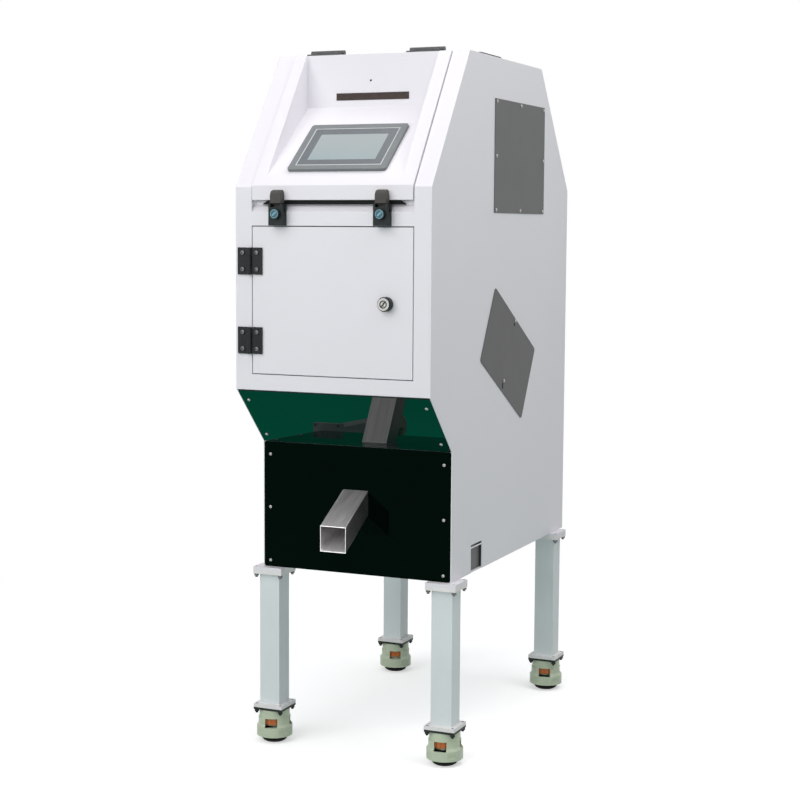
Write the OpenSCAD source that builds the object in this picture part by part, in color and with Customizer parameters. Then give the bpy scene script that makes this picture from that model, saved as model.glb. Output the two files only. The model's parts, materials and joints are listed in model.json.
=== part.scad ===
/* [Cabinet] */
// Width over the side panels
body_w = 450; // [430:5:500]
// Depth from the front face to the rear face
body_d = 875; // [860:5:940]
// Height of the cabinet from its base to its top
body_h = 1124; // [1116:2:1160]
// Height of the cabinet's base above the floor
base_z = 400; // [340:5:460]
// Height of the front face's lower edge above the base
front_low = 406; // [390:1:415]
// Height of the front face's upper bend above the base
front_bend = 834; // [828:1:842]
// Horizontal run of the front slope
front_run = 202.5; // [195:0.5:215]
// Height of the rear bend above the base
rear_bend = 844; // [820:1:860]
// Horizontal run of the rear slope
rear_run = 209; // [190:1:225]
// Thickness of the cabinet's sheet
sheet = 2; // [1.5:0.1:2.5]
// Thickness of the base pan
pan_t = 3; // [2:0.5:5]
// Length of the top strip that the rear panel folds over
rear_fold = 26; // [20:1:40]

/* [Lower front] */
// Setback of the lower front panel behind the front face
panel_setback = 123; // [110:1:135]
// Height of the lower front panel
panel_h = 280; // [265:1:295]
// Thickness of the plastic panels
panel_t = 3; // [2:0.5:4]
// Width of the sheet margin behind the plastic panels
panel_margin = 24; // [16:1:32]
// Corner radius of the plastic panels
panel_r = 6; // [2:1:12]

/* [Hood] */
// Width of the hood
hood_w = 369; // [350:1:380]
// Gap round the hood and the door
seam = 2; // [1.5:0.1:3]
// How far the hood's slope stands out from the front sheet
hood_proud = 4; // [3:0.5:6]
// How far the hood's lip stands out from the front face
lip_proud = 2.5; // [2:0.5:4]
// Height of the lip's lower edge above the base
lip_low = 807; // [804:1:810]
// Width of the hood's top strip in front of its hinges
hood_strip = 22.5; // [18:0.5:26]
// Depth of the hood's folded side edges
hood_fold = 11; // [6:1:13]
// Width of the recess in the hood
recess_w = 312; // [290:1:320]
// Height of the recess's ledge at its back, above the base
ledge_back = 1011; // [1000:1:1020]
// Height of the recess's ledge at its front, above the base
ledge_front = 857; // [850:1:862]
// Distance of each hood hinge from the middle
hinge_x = 118; // [100:1:130]

/* [Touch panel] */
// Width of the bezel
bezel_w = 226; // [210:1:240]
// Length of the bezel along the ledge
bezel_l = 158; // [150:1:165]
// Thickness of the bezel
bezel_t = 7; // [5:0.5:10]
// Width of the bezel's rim
bezel_rim = 14; // [10:1:18]
// Distance from the ledge's front edge to the bezel
bezel_low = 14; // [10:1:30]
// Depth of the panel's case behind the ledge
case_t = 28; // [15:1:34]
// Width of the dark strip on the recess's back wall
strip_w = 172; // [120:1:200]
// Height of the dark strip
strip_h = 15.5; // [10:0.5:20]
// Height of the dark strip's lower edge above the ledge's back
strip_rise = 14.5; // [8:0.5:25]

/* [Door] */
// Width of the door
door_w = 369; // [340:1:380]
// Height of the door's lower edge above the base
door_low = 441; // [436:1:450]
// Height of the door
door_h = 310.5; // [300:0.5:311]
// Depth of the door's folded edges
door_fold = 14; // [8:1:16]
// Depth of the folded edges round the door opening
jamb_fold = 20; // [18:1:26]
// Distance of the lock's centre from the door's right edge
lock_in = 58; // [40:1:80]
// Height of the lock's centre above the door's lower edge
lock_rise = 154; // [100:1:200]
// Diameter of the lock's collar
lock_d = 30; // [24:1:32]
// How far the lock's collar stands out
lock_out = 16; // [10:1:18]
// Diameter of the lock's plug
plug_d = 14; // [10:1:16]

/* [Hinges] */
// Height of a door hinge
hinge_h = 57; // [45:1:66]
// Width of a hinge leaf from the pin's axis on the door
leaf_w = 29; // [24:1:30]
// Thickness of a hinge leaf
leaf_t = 4; // [3:0.5:4.5]
// Radius of a hinge knuckle
knuckle_r = 5; // [4.5:0.25:6]
// Radius of a hinge pin
pin_r = 2.5; // [2:0.25:3]
// Height of the lower door hinge's middle above the door's lower edge
hinge_low = 70; // [50:1:90]
// Height of the upper door hinge's middle above the door's lower edge
hinge_high = 238; // [200:1:260]
// Length of a hood hinge along its pin
top_hinge_l = 80; // [60:1:90]
// Width of a hood hinge leaf from the pin's axis
top_leaf_w = 24; // [20:1:26]

/* [Latches] */
// Distance of each latch from the middle
latch_x = 120; // [100:1:135]
// Width of the latch base
latch_w = 33; // [32:0.5:36]
// Height of the latch base
latch_h = 45; // [43:0.5:45]
// Depth of the latch base
latch_t = 20; // [19:0.5:24]
// Wall of the latch base
latch_wall = 2.5; // [2:0.25:3]
// Height of the turning axis above the latch base's lower edge
latch_rise = 24; // [22:0.5:25]
// Diameter of the latch knob
knob_d = 23; // [20:0.5:24]
// Thickness of the latch knob
knob_t = 6; // [4:0.5:8]
// Length of the latch cam from its axis
cam_len = 16.5; // [15.5:0.25:17]
// Width of the latch cam
cam_w = 8; // [6:0.5:9]
// Width of the keeper on the hood
keeper_w = 25; // [22:1:28]
// Height of the keeper above the lip's lower edge
keeper_top = 21; // [16:1:26]
// How far the keeper reaches below the lip's lower edge
keeper_drop = 7; // [4:0.5:8]
// Depth of the keeper
keeper_t = 18; // [14:0.5:20]

/* [Spout] */
// Width of the outlet spout
spout_w = 60; // [50:1:70]
// Plumb height of the outlet spout
spout_h = 55.5; // [45:0.5:62]
// Wall of the outlet spout
spout_t = 1.5; // [1:0.25:2]
// Slope angle of the outlet spout
spout_angle = 29; // [22:1:33]
// Height of the spout's floor above the base at the lower front panel
spout_low = 129; // [115:1:150]
// Length of the spout in front of the lower front panel
spout_out = 112; // [80:1:115]
// Length of the spout behind the lower front panel
spout_in = 97; // [85:1:105]

/* [Side] */
// Thickness of the grey side covers
cover_t = 1.5; // [1:0.25:3]
// Width of the upper cover
cover_w = 335; // [300:1:350]
// Height of the upper cover
cover_h = 250; // [220:1:260]
// Distance of the upper cover from the front face
cover_y = 355; // [330:1:370]
// Height of the upper cover's lower edge above the base
cover_low = 785; // [770:1:800]
// Length of the slanted cover
slant_l = 312; // [280:1:330]
// Width of the slanted cover
slant_w = 182; // [150:1:200]
// Distance of the slanted cover's middle from the front face
slant_y = 460; // [440:1:480]
// Height of the slanted cover's middle above the base
slant_z = 465; // [450:1:480]
// Angle between the slanted cover's length and the floor
slant_angle = 29.5; // [25:0.5:35]
// Corner radius of the slanted cover
slant_r = 8; // [3:1:15]
// Distance of the cable notch from the front face
notch_y = 238; // [220:1:260]
// Width of the cable notch
notch_w = 67; // [50:1:80]
// Height of the cable notch
notch_h = 54; // [40:1:60]
// Height of the slit above the cable notch
slit_h = 5; // [3:0.5:8]
// Distance between the cable notch and its slit
slit_gap = 3; // [2:0.5:6]

/* [Legs] */
// Size of the square leg tube
tube = 48; // [40:1:50]
// Wall of the leg tube
tube_t = 3; // [2:0.5:4]
// Size of the square end plates
plate = 70; // [69:1:74]
// Thickness of the end plates
plate_t = 8; // [6:0.5:10]
// Distance of the leg's axis from the cabinet's side
leg_in = 18; // [15:0.5:36]
// Distance of the front legs' axis behind the lower front panel
leg_front = 17; // [14:0.5:30]
// Distance of the rear legs' axis from the rear face
leg_rear = 59; // [45:0.5:70]
// Distance of the flange bolts from the leg's axis, each way
bolt_in = 29.5; // [29:0.25:30]
// Diameter of the flange bolts
bolt_d = 6; // [5:0.5:6]
// Width of the bolt heads across their flats
bolt_af = 10; // [8:0.5:10]
// Height of the bolt heads
bolt_h = 5; // [3:0.5:5]
// Length of the bolt ends below their heads
bolt_tail = 3.5; // [2:0.5:4]

/* [Casters] */
// Height of a levelling caster
caster_h = 80; // [78:0.5:90]
// Thickness of the caster's top plate
caster_plate_t = 5; // [4:0.5:6]
// Radius of the caster's hub below the plate
hub_r = 34; // [32:0.5:35]
// Diameter of the caster's lower ring
ring_w = 80; // [78:1:86]
// Width of the caster's front window
window_w = 28; // [24:1:36]
// Height of the lower ring's underside above the floor
ring_low = 14; // [13:0.5:15]
// Height of the lower ring's top above the floor
ring_top = 36; // [34:0.5:37]
// Height of the hub's underside above the floor
hub_low = 56; // [54:0.5:57]
// Radius of the caster's kingpin
king_r = 8; // [6:0.5:9]
// Radius of the wheel
wheel_r = 19; // [17:0.5:19.5]
// Width of the wheel
wheel_w = 22; // [18:0.5:23]
// Distance of the wheel's axle behind the swivel axis
wheel_back = 48; // [48:0.5:52]
// Height of the wheel above the floor while the foot is down
wheel_lift = 4; // [3:0.5:5]
// Radius of the axle
axle_r = 4; // [3:0.25:5]
// Radius of the foot pad
foot_r = 28; // [24:0.5:28]
// Thickness of the foot pad
foot_t = 12; // [10.5:0.5:12]
// Radius of the foot's stem
stem_r = 6; // [5:0.25:7]
// Radius of the levelling dial
dial_r = 29.5; // [26:0.5:29.5]
// Travel of the foot
foot_travel = 8; // [6:0.5:8]
// Heading of the front left caster to the right of the front
heading_front_left = 14; // [0:1:20]
// Heading of the front right caster to the right of the front
heading_front_right = 5; // [0:1:20]
// Heading of the rear left caster to the right of the front
heading_rear_left = 22; // [0:1:22]
// Heading of the rear right caster to the right of the front
heading_rear_right = 13; // [0:1:20]

/* [Feeding] */
// Width of the feed inlet
inlet_w = 360; // [300:2:400]
// Length of the feed inlet
inlet_l = 125; // [110:1:140]
// Distance of the feed inlet from the front face
inlet_y = 382; // [370:1:395]
// Height of the inlet collar above the top
inlet_rise = 13; // [8:1:25]
// Width of the hopper's throat
throat_l = 40; // [30:1:60]
// Depth of the hopper below the top
hopper_h = 119; // [110:1:125]
// Length of the feeder tray
tray_l = 330; // [310:1:335]
// Height of the tray's walls
tray_h = 32; // [20:1:36]
// Gap between the hopper's throat and the tray's floor
feed_gap = 22; // [12:1:24]
// Height of the feeder's leaf springs
spring_h = 50; // [40:1:60]
// Width of the feeder drive
drive_w = 120; // [90:2:150]
// Height of the feeder drive
drive_h = 55; // [40:1:60]

/* [Sorting] */
// Angle between the chute and the floor
chute_angle = 58.3; // [57:0.1:60]
// Length of the chute
chute_l = 485; // [450:1:490]
// Distance from the chute's lower end to the inspection line
chute_gap = 60; // [45:1:75]
// Distance of each camera box's middle from the inspection line
camera_reach = 204; // [195:1:215]
// Depth of a camera box along its view
camera_l = 160; // [130:1:165]
// Height of a camera box across its view
camera_h = 110; // [90:1:115]
// Size of a light bar
lamp = 20; // [14:1:24]
// Distance of the ejector block below the inspection line
ejector_drop = 78; // [72:1:90]
// Distance of the ejector block's middle in front of the falling product
ejector_reach = 42; // [36:1:46]
// Height of the hoppers' mouths above the base
mouth_z = 340; // [330:1:342]
// Height of the hoppers' straight rims
rim_h = 20; // [12:1:22]
// Distance of the split between the hoppers from the front face
split_y = 443; // [435:1:450]
// Length of the reject hopper's mouth
reject_l = 112; // [100:1:115]
// Width of the reject outlet
reject_w = 120; // [90:2:150]
// Length of the reject outlet
reject_out = 80; // [60:1:90]
// How far the reject outlet reaches below the base
reject_drop = 20; // [10:1:30]
// Width of the control box
control_w = 300; // [250:5:340]
// Depth of the control box
control_d = 125; // [100:1:128]
// Height of the control box
control_h = 297; // [250:1:310]

/* [Fits] */
// Running clearance of a pin in its bore, each side
pin_play = 0.05; // [0.02:0.01:0.1]
// Clearance between pieces that slide or turn past each other
play = 0.3; // [0.2:0.05:0.5]
// Clearance round a piece that passes through a panel
pass = 0.5; // [0.3:0.1:1]

/* [Hidden] */
$fn = 48;
eps = 0.01;
through = 60;

// Colours
white_paint = [0.88, 0.89, 0.9];
grey_paint = [0.4, 0.4, 0.4];
leg_paint = [0.8, 0.85, 0.85];
steel = [0.7, 0.7, 0.7];
stainless = [0.6, 0.6, 0.6];
black_plastic = [0.08, 0.1, 0.1];
black_gloss = [0.01, 0.05, 0.04];
green_gloss = [0, 0.23, 0.15];
rubber_black = [0.05, 0.05, 0.05];
ivory = [0.82, 0.85, 0.78];
orange = [0.8, 0.43, 0.15];
brown = [0.24, 0.16, 0.14];
bezel_grey = [0.35, 0.37, 0.38];
screen_grey = [0.72, 0.76, 0.78];

// Heights above the floor and main places
top_z = base_z + body_h;
inner_w = body_w - 2 * sheet;
low_z = base_z + front_low;
bend_z = base_z + front_bend;
rear_bend_z = base_z + rear_bend;
panel_top_z = base_z + panel_h;
rear_top_y = body_d - rear_run;
pan_top_z = base_z + pan_t;
lip_z = base_z + lip_low;
hood_back_y = front_run + hood_strip;
hood_split_y = hood_back_y + 1.5 * seam;

// Door and lock places
door_z = base_z + door_low;
door_top_z = door_z + door_h;
opening_w = door_w + 2 * seam;
opening_top_z = door_top_z + seam;
lock_x = door_w / 2 - lock_in;
lock_z = door_z + lock_rise;
barrel_wall = 2.5;
barrel_d = plug_d + 2 * barrel_wall;
barrel_end = jamb_fold + sheet;
cam_t = 3;
lock_bite = 15;
lock_cam_l = lock_in + seam + lock_bite;
lock_cam_w = 14;
knuckle_gap = 0.5;
door_edge_gap = 0.1;
door_pin_x = -door_w / 2 - knuckle_r - door_edge_gap;
door_pin_y = -knuckle_r - knuckle_gap;

// Gutter below the hood and its seal
gutter_drop = 25;
gutter_rise = 15;
gutter_y = 14;
strip_top_z = lip_z - gutter_drop;
gutter_top_z = lip_z + gutter_rise;
seal_t = 8;
seal_gap = 1;
seal_low_z = strip_top_z + gutter_rise + seal_gap;
seal_half = 165;
seal_taper = 14;

// Hood slope, recess and hinge axis
slope = (body_h - front_bend) / front_run;
slope_length = norm([front_run, body_h - front_bend]);
slope_shift = hood_proud * slope_length / front_run;
hood_bend_z = bend_z + slope_shift - lip_proud * slope;
hood_top_y = front_run - slope_shift / slope;
ledge_back_z = base_z + ledge_back;
ledge_front_z = base_z + ledge_front;
ledge_front_y = (ledge_front_z - hood_bend_z) / slope - lip_proud;
ledge_run = front_run - ledge_front_y;
ledge_angle = atan2(ledge_back_z - ledge_front_z, ledge_run);
top_pin_back = 2;
top_pin_y = hood_back_y + top_pin_back;
top_knuckle_r = knuckle_r + knuckle_gap;
top_pin_z = top_z + top_knuckle_r + 2 * knuckle_gap;
top_leaf_t = 3;
screen_t = 3;
screen_sink = 1;
bezel_r = 6;
case_in = 6;

// Latch places
latch_z = opening_top_z + pass;
latch_axis_z = latch_z + latch_rise;
latch_shaft_r = 4;
cam_back_y = -8;
cam_thick = 4;
tongue_front_y = -7;
tongue_t = 4;
tongue_w = 20;
latch_bite = 6;
tongue_z = latch_axis_z + cam_len - latch_bite;
knob_front_y = -latch_t - play - knob_t;

// Legs and casters
leg_x = body_w / 2 - leg_in;
leg_y = [panel_setback + leg_front, body_d - leg_rear];
leg_top_z = base_z - plate_t;
leg_low_z = caster_h;
CORNERS = [[-1, 0], [1, 0], [-1, 1], [1, 1]];
FRONT_LEFT = 0;
FRONT_RIGHT = 1;
REAR_LEFT = 2;
REAR_RIGHT = 3;
headings = [heading_front_left, heading_front_right, heading_rear_left, heading_rear_right];
bolt_play = 0.3;
caster_plate_z = caster_h - caster_plate_t;
hub_top = caster_plate_z - play;
hub_floor = 7;
king_low = hub_low + hub_floor + play;
dial_gap = 1;
cavity_r = dial_r + dial_gap;
wheel_z = wheel_r + wheel_lift;
cheek_t = 8;
wheel_gap = 0.6;
cheek_half = wheel_w / 2 + wheel_gap + cheek_t;
stem_gap = 4;
stem_top = hub_low - stem_gap;
dial_lift = 5;
dial_t = hub_low - ring_top - dial_lift - 2 * dial_gap;
dial_notches = 16;

// Middle of the footprint, which becomes the origin
function wheel_reach(i) =
    (wheel_back + wheel_r) * cos(headings[i]) + wheel_w / 2 * sin(headings[i]);
rear_most = leg_y[1] + max(wheel_reach(REAR_LEFT), wheel_reach(REAR_RIGHT));
mid_y = (knob_front_y + rear_most) / 2;

// Feeder and sorting line
inlet_wall = 1.5;
hopper_low_z = top_z - hopper_h;
knee_drop = 24;
hopper_knee_z = top_z - knee_drop;
inlet_mid_y = inlet_y + inlet_l / 2;
tray_z = hopper_low_z - feed_gap;
tray_over = 5;
tray_w = inlet_w + 2 * tray_over;
chute_w = tray_w + 2 * tray_over;
trim_t = 1.5;
tray_front = 20;
tray_y = inlet_mid_y - throat_l / 2 - tray_front;
tray_t = 2;
mount_l = 180;
mount_h = 26;
mount_in = 55;
mount_y = tray_y + mount_in;
spring_t = 3;
clamp_t = 16;
clamp_h = 10;
drive_top_z = tray_z - tray_t - mount_h - play - spring_h;
shelf_t = 3;
shelf_z = drive_top_z - drive_h - shelf_t;
chute_t = 3;
chute_lip = 15;
chute_bar = 20;
inspect_rise = 2;
inspect = [slant_y, base_z + slant_z + inspect_rise];
box_t = 2;
slot_h = 24;
slot_w = inlet_w;
ejector_l = 50;
ejector_t = 40;
valves = 8;
valve_d = 16;
valve_l = 22;
hopper_t = 2;
throat_y = panel_setback + spout_in;
spout_slope = tan(spout_angle);
reject_y = split_y + hopper_t;
reject_out_y = reject_y + (reject_l - reject_out) / 2;
vent_w = 120;
vent_h = 5;
vent_pitch = 18;
vents = 8;
vent_rise = 90;
vent_z = base_z + vent_rise;
vent_x = 20;
dot_r = 1.5;
dots = [[371, 368], [412, 344.5]];

// Outline helpers: paths are lists of [depth, height] points with the inside on their left
function unit(v) = v / norm(v);
function left_of(v) = [-v[1], v[0]];
function heading(path, i) = unit(path[i + 1] - path[i]);
function mitred(path, i, t) =
    let (last = len(path) - 1)
    let (before = left_of(heading(path, max(i - 1, 0))))
    let (after = left_of(heading(path, min(i, last - 1))))
    path[i] + t * (before + after) / (1 + before * after);
function shifted(path, t) = [for (i = [0 : len(path) - 1]) mitred(path, i, t)];
function reversed(path) = [for (i = [len(path) - 1 : -1 : 0]) path[i]];
function band(path, t) = concat(path, reversed(shifted(path, t)));

// Extrudes a side outline along the width, starting at x
module across(x, w) {
    translate([x, 0, 0])
        rotate([90, 0, 90])
            linear_extrude(w)
                children();
}

// A sheet bent along a path, centred on the middle plane
module bent_sheet(path, t, w) {
    across(-w / 2, w) polygon(band(path, t));
}

// Moves a piece so that the footprint's middle is the origin
module placed() {
    translate([0, -mid_y, 0]) children();
}

// Draws a piece and its mirror image on the other side
module both_sides() {
    children();
    mirror([1, 0, 0]) children();
}

// A rectangle with round corners, centred
module rounded(w, h, r) {
    square([w - 2 * r, h], center = true);
    square([w, h - 2 * r], center = true);
    for (x = [-1, 1], y = [-1, 1])
        translate([x * (w / 2 - r), y * (h / 2 - r)]) circle(r);
}

// A bar or bore along the depth at height z
module along_y(x, z, y, r, l) {
    translate([x, y, z]) rotate([-90, 0, 0]) cylinder(r = r, h = l);
}

// Side outline of the cabinet
body_outline = [
    [0, low_z], [0, bend_z], [front_run, top_z], [rear_top_y, top_z],
    [body_d, rear_bend_z], [body_d, base_z], [panel_setback, base_z], [panel_setback, panel_top_z]
];

// Outer faces of the plastic panels and the sheet behind them
window_path = [[0, low_z], [panel_setback, panel_top_z], [panel_setback, base_z]];
window_seat = shifted(window_path, panel_t);
seat_slope = (window_seat[1][0] - window_seat[0][0]) / (window_seat[0][1] - window_seat[1][1]);
jog_y = window_seat[0][0] + (window_seat[0][1] - low_z) * seat_slope;
window_l = norm(window_path[1] - window_path[0]);
window_angle = atan2(low_z - panel_top_z, panel_setback);
pan_front_y = panel_setback + panel_t + sheet;

// Paths of the bent sheets
slope_path = [[hood_split_y, top_z], [front_run, top_z], [0, bend_z], [0, strip_top_z]];
front_path = [
    [hood_split_y, top_z], [front_run, top_z], [0, bend_z], [0, low_z],
    [jog_y, low_z], window_seat[1], window_seat[2]
];
gutter_path = [
    [gutter_y, gutter_top_z], [gutter_y, strip_top_z + gutter_rise], [0, strip_top_z]
];
rear_path = [
    [body_d, base_z], [body_d, rear_bend_z], [rear_top_y, top_z], [rear_top_y - rear_fold, top_z]
];
hood_path = [
    [hood_back_y, top_z], [hood_top_y, top_z], [-lip_proud, hood_bend_z], [-lip_proud, lip_z]
];
hood_skin_path = concat(hood_path, [[gutter_y - seal_t - play, lip_z]]);
ledge_path = [[ledge_front_y, ledge_front_z], [front_run, ledge_back_z], [front_run, top_z]];

module side_panel(x) {
    across(x, sheet) polygon(body_outline);
}

module left_side_panel() {
    color(white_paint) placed() side_panel(-body_w / 2);
}

module right_side_panel() {
    slit_z = base_z + notch_h + slit_gap;
    color(white_paint) placed() difference() {
        side_panel(inner_w / 2);
        translate([inner_w / 2 - through / 2, notch_y, base_z - eps])
            cube([through, notch_w, notch_h + eps]);
        translate([inner_w / 2 - through / 2, notch_y, slit_z])
            cube([through, notch_w, slit_h]);
        for (p = dots)
            translate([inner_w / 2 - through / 2, p[0], base_z + p[1]])
                rotate([0, 90, 0]) cylinder(r = dot_r, h = through);
    }
}

// Folded edges round the door opening
module door_jamb() {
    h = door_h + 2 * seam;
    z = door_z - seam;
    difference() {
        translate([-opening_w / 2 - sheet, 0, z - sheet])
            cube([opening_w + 2 * sheet, jamb_fold, h + 2 * sheet]);
        translate([-opening_w / 2, -eps, z]) cube([opening_w, through, h]);
    }
}

// Openings behind the two plastic panels
module window_cuts() {
    w = inner_w - 2 * panel_margin;
    lower_h = panel_h - 2 * panel_margin;
    translate([0, window_path[1][0], window_path[1][1]])
        rotate([-window_angle, 0, 0])
            translate([-w / 2, panel_margin - window_l, -through / 2])
                cube([w, window_l - 2 * panel_margin, through]);
    translate([-w / 2, panel_setback, base_z + panel_margin]) cube([w, through / 4, lower_h]);
}

module front_frame() {
    hood_cut_w = hood_w + 2 * seam;
    slope_fold = hood_fold + 6;
    color(white_paint) placed() union() {
        difference() {
            bent_sheet(front_path, sheet, inner_w);
            translate([-opening_w / 2, -eps, door_z - seam])
                cube([opening_w, through / 2, door_h + 2 * seam]);
            translate([-hood_cut_w / 2, -eps, strip_top_z])
                cube([hood_cut_w, hood_split_y + through, body_h]);
            window_cuts();
        }
        door_jamb();
        bent_sheet(gutter_path, sheet, hood_cut_w + 2 * sheet);
        both_sides() across(hood_cut_w / 2, sheet) polygon(band(slope_path, slope_fold));
    }
}

module top_panel() {
    l = rear_top_y - rear_fold - hood_split_y;
    cut_w = inlet_w + 2 * pass;
    flange_h = 16;
    color(white_paint) placed() difference() {
        union() {
            translate([-inner_w / 2, hood_split_y, top_z - sheet]) cube([inner_w, l, sheet]);
            translate([-inner_w / 2, hood_split_y + sheet, top_z - flange_h])
                cube([inner_w, sheet, flange_h]);
        }
        translate([-cut_w / 2, inlet_y - pass, top_z - through / 2])
            cube([cut_w, inlet_l + 2 * pass, through]);
    }
}

module rear_panel() {
    color(white_paint) placed() difference() {
        bent_sheet(rear_path, sheet, inner_w);
        both_sides()
            for (i = [0 : vents - 1])
                translate([vent_x, body_d - through / 2, vent_z + i * vent_pitch])
                    cube([vent_w, through, vent_h]);
    }
}

// Holes for the flange bolts of one leg
module bolt_places() {
    for (x = [-1, 1], y = [-1, 1])
        translate([x * bolt_in, y * bolt_in, 0]) children();
}

module flange(z, t) {
    difference() {
        translate([-plate / 2, -plate / 2, z]) cube([plate, plate, t]);
        bolt_places() translate([0, 0, z - eps]) cylinder(d = bolt_d + 2 * bolt_play, h = t + 2 * eps);
    }
}

module at_leg(i) {
    translate([CORNERS[i][0] * leg_x, leg_y[CORNERS[i][1]], 0]) children();
}

module base_frame() {
    cut_w = reject_w + 2 * pass;
    guard_gap = 14;
    guard_over = 10;
    color(white_paint) placed() {
        translate([inner_w / 2 - guard_gap - sheet, notch_y - guard_over, base_z])
            cube([sheet, notch_w + 2 * guard_over, notch_h + guard_over]);
        difference() {
            translate([-inner_w / 2, pan_front_y, base_z])
                cube([inner_w, body_d - sheet - pan_front_y, pan_t]);
            translate([-cut_w / 2, reject_out_y - pass, base_z - eps])
                cube([cut_w, reject_out + 2 * pass, through]);
        }
        for (i = [0 : 3]) at_leg(i) flange(base_z - plate_t, plate_t);
    }
}

module green_window() {
    edge = 5;
    fold_gap = 0.6;
    color(green_gloss) placed()
        translate([0, window_path[1][0], window_path[1][1]])
            rotate([-window_angle, 0, 0])
                translate([0, (edge - window_l - fold_gap) / 2, 0])
                    linear_extrude(panel_t)
                        rounded(inner_w - 2 * pass, window_l - edge - fold_gap, panel_r / 3);
}

// Side outline of the spout, grown by a clearance and lengthened at both ends
module spout_outline(grow, longer) {
    front = -spout_out - longer;
    back = spout_in + longer;
    polygon([
        [front, front * spout_slope - grow], [back, back * spout_slope - grow],
        [back, back * spout_slope + spout_h + grow], [front, front * spout_slope + spout_h + grow]
    ]);
}

module at_spout() {
    translate([0, panel_setback, base_z + spout_low]) children();
}

module lower_front_panel() {
    w = spout_w + 2 * pass;
    top_gap = 0.4;
    color(black_gloss) placed() difference() {
        translate([0, panel_setback + panel_t, base_z + panel_h / 2])
            rotate([90, 0, 0])
                linear_extrude(panel_t)
                    rounded(inner_w - 2 * pass, panel_h - top_gap, panel_r);
        at_spout() across(-w / 2, w) spout_outline(pass, 0);
    }
}

module upper_side_cover() {
    color(grey_paint) placed()
        translate([body_w / 2, cover_y, base_z + cover_low]) cube([cover_t, cover_w, cover_h]);
}

module slanted_side_cover() {
    color(grey_paint) placed()
        across(body_w / 2, cover_t)
            translate([slant_y, base_z + slant_z])
                rotate(-slant_angle) rounded(slant_l, slant_w, slant_r);
}

module outlet_spout() {
    wall_z = spout_t / cos(spout_angle);
    collar = 16;
    collar_z = spout_slope * panel_t - collar;
    color(stainless) placed() at_spout() difference() {
        union() {
            across(-spout_w / 2, spout_w) spout_outline(0, 0);
            translate([-spout_w / 2 - collar, panel_t, collar_z])
                cube([spout_w + 2 * collar, spout_t, spout_h + 2 * collar]);
        }
        across(spout_t - spout_w / 2, spout_w - 2 * spout_t) spout_outline(-wall_z, 1);
    }
}

module hood_seal() {
    h = lip_z - play - seal_low_z;
    color(rubber_black) placed()
        translate([0, gutter_y, seal_low_z])
            rotate([90, 0, 0])
                linear_extrude(seal_t)
                    polygon([
                        [-seal_half, 0], [seal_half, 0], [seal_half - seal_taper, h],
                        [seal_taper - seal_half, h]
                    ]);
}

// Side outlines of the hopper's front and rear walls
hopper_front = [
    [inlet_y, top_z + inlet_rise], [inlet_y, hopper_knee_z],
    [inlet_mid_y - throat_l / 2, hopper_low_z]
];
hopper_rear = [
    [inlet_mid_y + throat_l / 2, hopper_low_z], [inlet_y + inlet_l, hopper_knee_z],
    [inlet_y + inlet_l, top_z + inlet_rise]
];

// A box round the inlet, grown sideways by a distance
module inlet_box(grow, z, h) {
    translate([-inlet_w / 2 - grow, inlet_y - grow, z])
        cube([inlet_w + 2 * grow, inlet_l + 2 * grow, h]);
}

module feed_hopper() {
    rim = 12;
    color(stainless) placed() {
        bent_sheet(hopper_front, inlet_wall, inlet_w);
        bent_sheet(hopper_rear, inlet_wall, inlet_w);
        both_sides()
            across(inlet_w / 2 - inlet_wall, inlet_wall)
                polygon(concat(hopper_front, hopper_rear));
        difference() {
            inlet_box(rim, top_z, inlet_wall);
            inlet_box(-inlet_wall, top_z - eps, through);
        }
    }
}

module inlet_trim() {
    trim_h = 5;
    z = top_z + inlet_rise;
    color(rubber_black) placed() difference() {
        inlet_box(trim_t, z - trim_h, trim_h + trim_t);
        inlet_box(-inlet_wall - trim_t, z - through, 2 * through);
        difference() {
            inlet_box(0, z - through, through);
            inlet_box(-inlet_wall, z - 2 * through, 4 * through);
        }
    }
}

module feeder_tray() {
    bracket_wall = 6;
    low = tray_z - tray_t;
    color(stainless) placed() {
        difference() {
            translate([-tray_w / 2, tray_y, low]) cube([tray_w, tray_l, tray_h]);
            translate([tray_t - tray_w / 2, tray_y + tray_t, tray_z])
                cube([tray_w - 2 * tray_t, tray_l, tray_h]);
        }
        difference() {
            translate([-drive_w / 2, mount_y, low - mount_h]) cube([drive_w, mount_l, mount_h]);
            translate([bracket_wall - drive_w / 2, mount_y - eps, low - mount_h + bracket_wall])
                cube([drive_w - 2 * bracket_wall, mount_l + 2 * eps, mount_h]);
        }
    }
}

module feeder_base() {
    shelf_out = 20;
    shelf_drop = 30;
    magnet = 60;
    magnet_gap = 8;
    spring_w = drive_w * 2 / 3;
    clamp_in = 12;
    color(steel) placed() {
        translate([-inner_w / 2, mount_y - shelf_out, shelf_z])
            cube([inner_w, mount_l + 2 * shelf_out, shelf_t]);
        both_sides()
            translate([inner_w / 2 - shelf_t, mount_y - shelf_out, shelf_z - shelf_drop])
                cube([shelf_t, mount_l + 2 * shelf_out, shelf_drop]);
        translate([-drive_w / 2, mount_y, shelf_z + shelf_t]) cube([drive_w, mount_l, drive_h]);
        translate([-magnet / 2, mount_y + (mount_l - magnet) / 2, drive_top_z])
            cube([magnet, magnet, spring_h - magnet_gap]);
        for (y = [mount_y + clamp_in, mount_y + mount_l - clamp_in - clamp_t]) {
            translate([-spring_w / 2, y + (clamp_t - spring_t) / 2, drive_top_z])
                cube([spring_w, spring_t, spring_h]);
            translate([-spring_w / 2, y, drive_top_z + spring_h - clamp_h])
                cube([spring_w, clamp_t, clamp_h]);
        }
    }
}

// Frame at the inspection line: depth runs up the chute, height points to the front
module at_inspection() {
    placed()
        translate([0, inspect[0], inspect[1]])
            rotate([chute_angle, 0, 0])
                children();
}

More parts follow.
